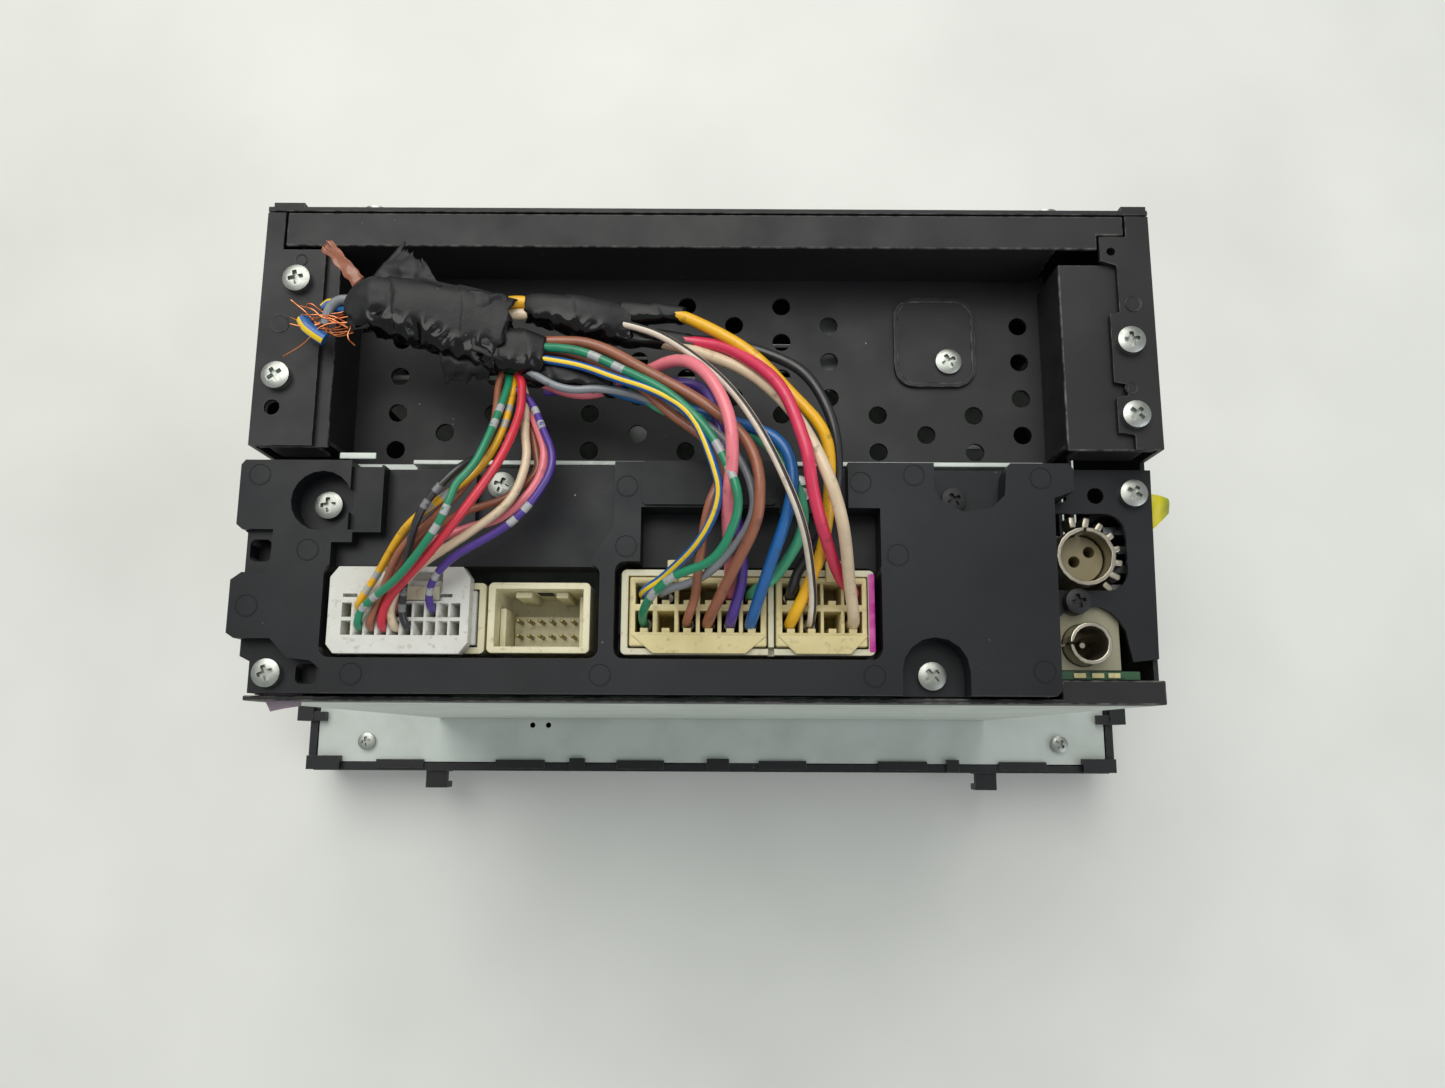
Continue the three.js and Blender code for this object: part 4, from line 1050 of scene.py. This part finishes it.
# %% One screw, then all of them
def pan_head(radius, height):
    bpy.ops.object.select_all(action="DESELECT")
    bpy.ops.mesh.primitive_cylinder_add(vertices=48, radius=radius, depth=height, location=(0, 0, height / 2))
    screw = fresh("screw_model")
    edit(screw)
    pick(screw, lambda middle, normal: normal.z > 0.9)
    bpy.ops.mesh.inset(thickness=0.34 * radius)
    bpy.ops.transform.translate(value=(0, 0, 0.22 * height))
    bpy.ops.mesh.inset(thickness=0.06 * radius)
    shape = bmesh.from_edit_mesh(screw.data)
    ring = [v for v in shape.verts if v.select]
    arm, half = 0.56 * radius, 0.17 * radius
    for vert in ring:
        angle = math.atan2(vert.co.y, vert.co.x)
        along, across = max(abs(math.cos(angle)), 1e-6), max(abs(math.sin(angle)), 1e-6)
        reach = max(min(arm / along, half / across), min(arm / across, half / along))
        vert.co.x, vert.co.y = reach * math.cos(angle), reach * math.sin(angle)
    bmesh.update_edit_mesh(screw.data)
    bpy.ops.mesh.extrude_region_move(TRANSFORM_OT_translate={"value": (0, 0, -0.6 * height)})
    bpy.ops.transform.resize(value=(0.86, 0.86, 1))
    bpy.ops.object.mode_set(mode="OBJECT")
    edit(screw)

    def on_rim(point):
        return abs(point.z - height) < 1e-6 and point.xy.length > 0.95 * radius

    pick_edges(screw, lambda first, second: on_rim(first) and on_rim(second))
    bpy.ops.mesh.bevel(offset=0.34 * radius, segments=4, affect="EDGES")
    return done(screw, 40)


def screw(name, model, place, mat, slot, turn_degrees, lean=(0, 0, 1), body="chassis"):
    piece = model.copy()
    piece.data = model.data.copy()
    piece.name = piece.data.name = name
    bpy.context.scene.collection.objects.link(piece)
    upright = Vector((0, 0, 1)).rotation_difference(Vector(lean)).to_matrix().to_4x4()
    turned = Matrix.Rotation(math.radians(turn_degrees), 4, "Z")
    piece.data.transform(Matrix.Translation(place) @ upright @ turned)
    return carry(piece, mat, slot, body)


large_head = pan_head(2.75 * MM, 1.6 * MM)
small_head = pan_head(2.5 * MM, 1.3 * MM)
plate_top = (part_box("front_plate")[1].z - REAR) / MM
zinc_screws = [
    ("flange_screw_1", -82.6, 33.8, 0, 12), ("flange_screw_2", -85.2, 13.4, 0, 35),
    ("flange_screw_3", 84.5, 21.6, 0, 8), ("flange_screw_4", 84.5, 6.2, 0, 50),
    ("cover_screw_1", -75.3, -11.4, -7, 5), ("cover_screw_2", -84.6, -44.8, -5.5, 20),
    ("cover_screw_3", -41.2, -6.9, -8, 70), ("cover_screw_4", 18.5, -7.6, -7, 15),
    ("cover_screw_5", 44.3, -44.7, -8, 40),
    ("recess_screw", 51.4, 22.7, -16, 28), ("aerial_screw", 86.3, -7.7, -8.6, 60),
    ("front_screw_1", -113, -57.7, plate_top, 10), ("front_screw_2", 114, -57.7, plate_top, 55),
    ("front_screw_3", -113, 57.7, plate_top, 33), ("front_screw_4", 114, 57.7, plate_top, 80),
]
for name, x, y, z, turn in zinc_screws:
    screw(name, large_head, at(x, y, z - 0.05), zinc_screw, "zinc_steel", turn)
for name, x, y, z, turn in (("black_screw_1", 49.8, -9.4, -8, 30), ("black_screw_2", 73.6, -29.8, -7.5, 12)):
    screw(name, small_head, at(x, y, z - 0.05), black_steel, "black_steel", turn)
for side, x in (("left", -69.3), ("right", 70.5)):
    screw("top_screw_" + side, large_head, at(x, 49.9, -5), zinc_screw, "zinc_steel", 20, (0, 1, 0))
bpy.data.objects.remove(large_head)
bpy.data.objects.remove(small_head)
print(len(zinc_screws) + 4, "screws")

# %% [markdown]
# ## The plugs
# A plug is a block with a row of square cavities, each of which holds one crimped terminal and its wire.
# The block is a rounded copy of the CAD plug. One cutter is made for a cavity, copied to the pitch, and
# taken out with a Boolean.

# %% Cavities
def cavity_cutters(columns, rows, half_x, half_y, z0, z1):
    return [brick("cavity", x - half_x, x + half_x, y - half_y, y + half_y, z0, z1)
            for x in columns for y in rows]


WHITE_PITCH = 2.32
white_columns = [-68.8 + WHITE_PITCH * i for i in range(10)]
white_rows = [-32.85, -36.3]
WHITE_FACE = (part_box("plug_20way")[1].z - REAR) / MM
white_plug = rounded(twin("plug_20way", "plug_20way_body"), 0.7, 3)
cutters = cavity_cutters(white_columns, white_rows, 0.93, 1.38, WHITE_FACE - 7, WHITE_FACE + 1)
cutters += [brick("slot", x - 1.4, x + 1.4, -30.4, -29.7, WHITE_FACE - 2, WHITE_FACE + 1)
            for x in (-68.3, -50)]
cutters.append(brick("notch", -58.8, -50.6, -27.3, -25.4, WHITE_FACE - 2.8, WHITE_FACE + 1))
cutters.append(brick("latch_recess", -58.8, -50.6, -31.1, -27.4, WHITE_FACE - 0.9, WHITE_FACE + 1))
cutters.append(brick("finger_dip", -62, -56, -25.4, -23, WHITE_FACE - 0.8, WHITE_FACE + 1))
carry(done(cut_with(white_plug, cutters)), white_nylon, "white_nylon", "chassis", ["plug_20way"])
latch = done(brick("white_latch", -58.2, -51.2, -30.9, -28.2, WHITE_FACE - 1.2, WHITE_FACE - 0.35, 0.25))
carry(latch, pale_nylon, "cream_nylon")

CREAM_FACE = (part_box("plug_6column")[1].z - REAR) / MM
TOP_ROW, LOW_ROW = -29.15, -34.6
for node, columns in (("plug_6column", [-11.85 + 4.18 * i for i in range(6)]),
                      ("plug_4column", [16.65 + 4.02 * i for i in range(4)])):
    plug = rounded(twin(node, node + "_body"), 0.35)
    cutters = cavity_cutters(columns, [TOP_ROW, LOW_ROW], 1.72, 2.1, CREAM_FACE - 13, CREAM_FACE + 1)
    plug = cut_with(plug, cutters)
    keys = [brick("key", x - 0.75, x + 0.75, y - 2.3, y - 1.2, CREAM_FACE - 6, CREAM_FACE - 0.4, 0.1)
            for x in columns for y in (TOP_ROW, LOW_ROW)]
    carry(done(plug), cream_nylon, "cream_nylon", "chassis", [node])
    carry(done(joined(keys, node + "_keys")), cream_nylon, "cream_nylon")


def lip(name, x0, x1, narrow):
    """The sloping lip under a plug's lower row: a block whose lower side is drawn in."""
    piece = brick(name, x0, x1, -40.8, -37.2, CREAM_FACE - 0.75, CREAM_FACE + 0.35)
    edit(piece)
    pick(piece, lambda middle, normal: normal.y < -0.9)
    middle = at((x0 + x1) / 2, -40.8, CREAM_FACE)
    bpy.ops.transform.resize(value=(narrow, 1, 0.55), center_override=middle)
    bpy.ops.mesh.select_all(action="SELECT")
    bpy.ops.mesh.bevel(offset=0.22 * MM, segments=2)
    return carry(done(piece), cream_nylon, "cream_nylon")


lip("lip_6column", -14.3, 12, 0.68)
lip("lip_4column", 14, 31.6, 0.6)
for name, x0, x1 in (("latch_tab_left", -7.4, -5.4), ("latch_tab_right", 23.4, 26.4)):
    carry(done(brick(name, x0, x1, -27, -22.6, -3.9, CREAM_FACE + 0.8, 0.3)), cream_nylon, "cream_nylon")

# %% [markdown]
# ## Terminals, pins and the header frames
# Behind each wire sits a tinned crimp, of which only the open end shows. In the spare header the bare
# pins stand in two rows. The double header's frame is paler than its plugs, and a stripe of magenta paint
# marks its right edge.


# %% Terminals and pins
def crimp(x, y):
    """A crimped barrel: a drum with its end face inset and sunk."""
    barrel = peg("crimp", x, y, CREAM_FACE - 12.8, CREAM_FACE - 5, 1.4, 20)
    edit(barrel)
    pick(barrel, lambda middle, normal: normal.z > 0.9)
    bpy.ops.mesh.inset(thickness=0.28 * MM)
    bpy.ops.transform.translate(value=(0, 0, -1.6 * MM))
    bpy.ops.object.mode_set(mode="OBJECT")
    return barrel


six_low = [-11.85, -3.5, 0.69, 4.87, 9.05]
four_low = [16.65, 20.67, 28.7]
crimps = [crimp(x, LOW_ROW) for x in six_low + four_low]
crimps += [crimp(x, TOP_ROW) for x in (-11.85, -7.67, 4.87, 9.05, 16.65, 28.7)]
carry(done(joined(crimps, "terminals")), tin_plate, "tin_plate")

header = rounded(soft_corners(twin("header_12way", "header_12way_body"), 1.3), 0.45, 3)
carry(done(header), pale_cream, "cream_nylon", "chassis", ["header_12way"])
BOTTOM = -20.9
pins = []
for column in range(6):
    for y in (-33.6, -36.6):
        x = -37.9 + 2.2 * column
        pins.append(brick("pin", x - 0.34, x + 0.34, y - 0.34, y + 0.34, BOTTOM - 0.1, BOTTOM + 9, 0.16))
carry(done(joined(pins, "header_pins")), tinned_brass, "tin_plate")
ribs = [
    brick("rib", -40.8, -39.6, -39.3, -31.5, BOTTOM - 0.05, BOTTOM + 12, 0.2),
    brick("rib", -37.6, -34.4, -29.6, -28.4, BOTTOM - 0.05, BOTTOM + 13.5, 0.2),
    brick("rib", -29.6, -27.2, -29.6, -28.4, BOTTOM - 0.05, BOTTOM + 13.5, 0.2),
    brick("rib", -25.2, -23.9, -39.3, -29, BOTTOM - 0.05, BOTTOM + 11, 0.2),
    brick("shelf", -39.5, -25.3, -39.3, -32.2, BOTTOM - 0.05, BOTTOM + 3.4, 0.2),
]
carry(done(joined(ribs, "header_ribs")), pale_cream, "cream_nylon")
# A thin black sheet in the latch slot is painted shade: it stands for the dark opening of the slot.
carry(done(brick("latch_slot_painted_shade", -33.6, -30.6, -28.5, -28.35, -13, -9, 0.05)), soft_rubber, "rubber")

twenty_header = done(rounded(twin("header_20way", "header_20way_body"), 0.5, 3))
carry(twenty_header, pale_cream, "cream_nylon", "chassis", ["header_20way"])
double_frame = rounded(soft_corners(twin("header_double", "header_double_body"), 1.5), 0.5, 3)
notch = brick("notch", 12.2, 13.4, -42, -39.4, -6, -3)
carry(done(cut_with(double_frame, [notch])), pale_nylon, "cream_nylon", "chassis", ["header_double"])


def marking_paint(name, colour):
    """Brushed marker paint: thin, so that its strength varies along the stroke."""
    mat, shader, place = start_finish(name, Roughness=0.42, Coat_Weight=0.2)
    thin = spread(mat, grain(mat, place, 2.5, 4), 0.4, 0.7)
    tint = blend_colour(mat, thin, linear(colour), linear("#d45fb0"))
    feed(mat, shader, "Base Color", tint)
    rough_skin(mat, shader, grain(mat, place, 0.6, 2), 0.03)
    return mat


magenta = marking_paint("magenta_marker_paint", "#b3128b")
frame_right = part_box("header_double")[1].x / MM
stripe = brick("paint_stripe", frame_right - 1.25, frame_right + 0.12, -40.4, -24.9, -11, -3.88, 0.35)
carry(done(stripe), magenta, "cream_nylon")
print("plugs and headers done")

# %% [markdown]
# ## Aerial sockets
# An aerial plug goes into a turned and tinned tube whose rim is rolled over. A slit lets the tube spring.
# The rim comes from the bevel, the slit from a thin cutter. Spring fingers of the screening can stand
# around the large socket.

# %% Aerial sockets
slits = {"antenna_socket_large": (-0.3, 0.3, 3, 8), "antenna_socket_small": (-6, -2, -0.3, 0.3)}
for node, slit in slits.items():
    low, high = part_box(node)
    x, y = (low.x + high.x) / 2 / MM, (low.y + high.y) / 2 / MM
    tube = rounded(twin(node, node + "_tube"), 0.32, 3)
    rim = (high.z - REAR) / MM
    saw = brick("slit", x + slit[0], x + slit[1], y + slit[2], y + slit[3], rim - 6, rim + 1)
    tube = cut_with(tube, [saw])
    carry(done(tube), tin_plate, "tin_plate", "chassis", [node])
BIG = (75.2, -21.0)
fingers = []
for i in range(8):
    turn = math.radians(-44 + 20 * i)
    finger = brick("finger", 6.7, 9.1, -0.7, 0.7, -15, -9.9, 0.4)
    finger.data.transform(Matrix.Translation((BIG[0] * MM, BIG[1] * MM, 0)) @ Matrix.Rotation(turn, 4, "Z"))
    fingers.append(finger)
carry(done(joined(fingers, "screen_fingers")), tin_plate, "tin_plate")
insulator = rounded(twin("antenna_insulator", "antenna_insulator_body"), 0.25)
carry(done(insulator), aged_nylon, "cream_nylon", "chassis", ["antenna_insulator"])
pin = peg("aerial_pin", 75.2, -38.2, -29, -11, 0.9, 20)
edit(pin)
pick(pin, lambda middle, normal: normal.z > 0.9)
bpy.ops.mesh.inset(thickness=0.35 * MM)
bpy.ops.transform.translate(value=(0, 0, 0.5 * MM))
carry(done(pin), tin_plate, "tin_plate")
screen = brick("aerial_screen", 69.9, 82.6, -43.2, -30.3, -10.7, -10.1, 0.15)
screen = cut_with(screen, [peg("hole", 75.2, -38.2, -12, -9, 4.35, 32)])
carry(done(screen), dull_tin, "tin_plate")
chips = [brick("chip", x, x + 2.4, -44.75, -43.75, -9.65, -9.2, 0.1) for x in (72.8, 76.4, 79.6)]
carry(done(joined(chips, "board_edge_parts")), cream_nylon, "circuit_board")
print("aerial sockets done")

# %% [markdown]
# ## Loose film
# A yellow tab sticks out of the right side, and a scrap of mauve tape hangs at the lower left corner.
# Both are thin films, so each is a grid that is bent and given a film's thickness.


# %% Films
def film_finish(name, colour, tip, clear):
    mat, shader, place = start_finish(name, Roughness=0.35, IOR=1.5, Transmission_Weight=clear)
    along = add_node(mat, "ShaderNodeSeparateXYZ", {0: place}).outputs[0]
    clouded = times(mat, spread(mat, along, 0.0925, 0.0945), spread(mat, grain(mat, place, 3, 3), 0.2, 0.45))
    tint = blend_colour(mat, clouded, linear(colour), linear(tip))
    feed(mat, shader, "Base Color", tint)
    rough_skin(mat, shader, grain(mat, place, 2, 3), 0.1)
    return mat


def film(name, corners, mat, slot, stands_for=()):
    bpy.ops.object.select_all(action="DESELECT")
    bpy.ops.mesh.primitive_grid_add(x_subdivisions=10, y_subdivisions=10, size=1)
    piece = fresh(name)
    a, b, c, d = [Vector(p) for p in corners]
    for vert in piece.data.vertices:
        u, v = vert.co.x + 0.5, vert.co.y + 0.5
        place = a.lerp(b, u).lerp(d.lerp(c, u), v)
        place.z += 0.8 * math.sin(math.pi * u) + 0.3 * math.sin(5 * v)
        vert.co = at(*place)
    alone(piece)
    thick = piece.modifiers.new("thick", "SOLIDIFY")
    thick.thickness = 0.2 * MM
    thick.offset = 0
    bpy.ops.object.modifier_apply(modifier="thick")
    return carry(done(piece), mat, slot, "chassis", stands_for)


film("yellow_tab_film", [(89.9, -7, -10.6), (94.9, -7.9, -11.6), (95.2, -10.6, -12.2), (89.9, -15.6, -11.6)],
     film_finish("yellow_film", "#d6cb1c", "#8f9a1e", 0.05), "yellow_film", ["yellow_tab"])
film("mauve_tape", [(-87, -48.2, -9.2), (-79, -48.4, -9.2), (-79.5, -50.9, -9.6), (-85.6, -52, -10)],
     film_finish("mauve_tape", "#a08f9c", "#8e7f8b", 0.45), "pvc_tape")
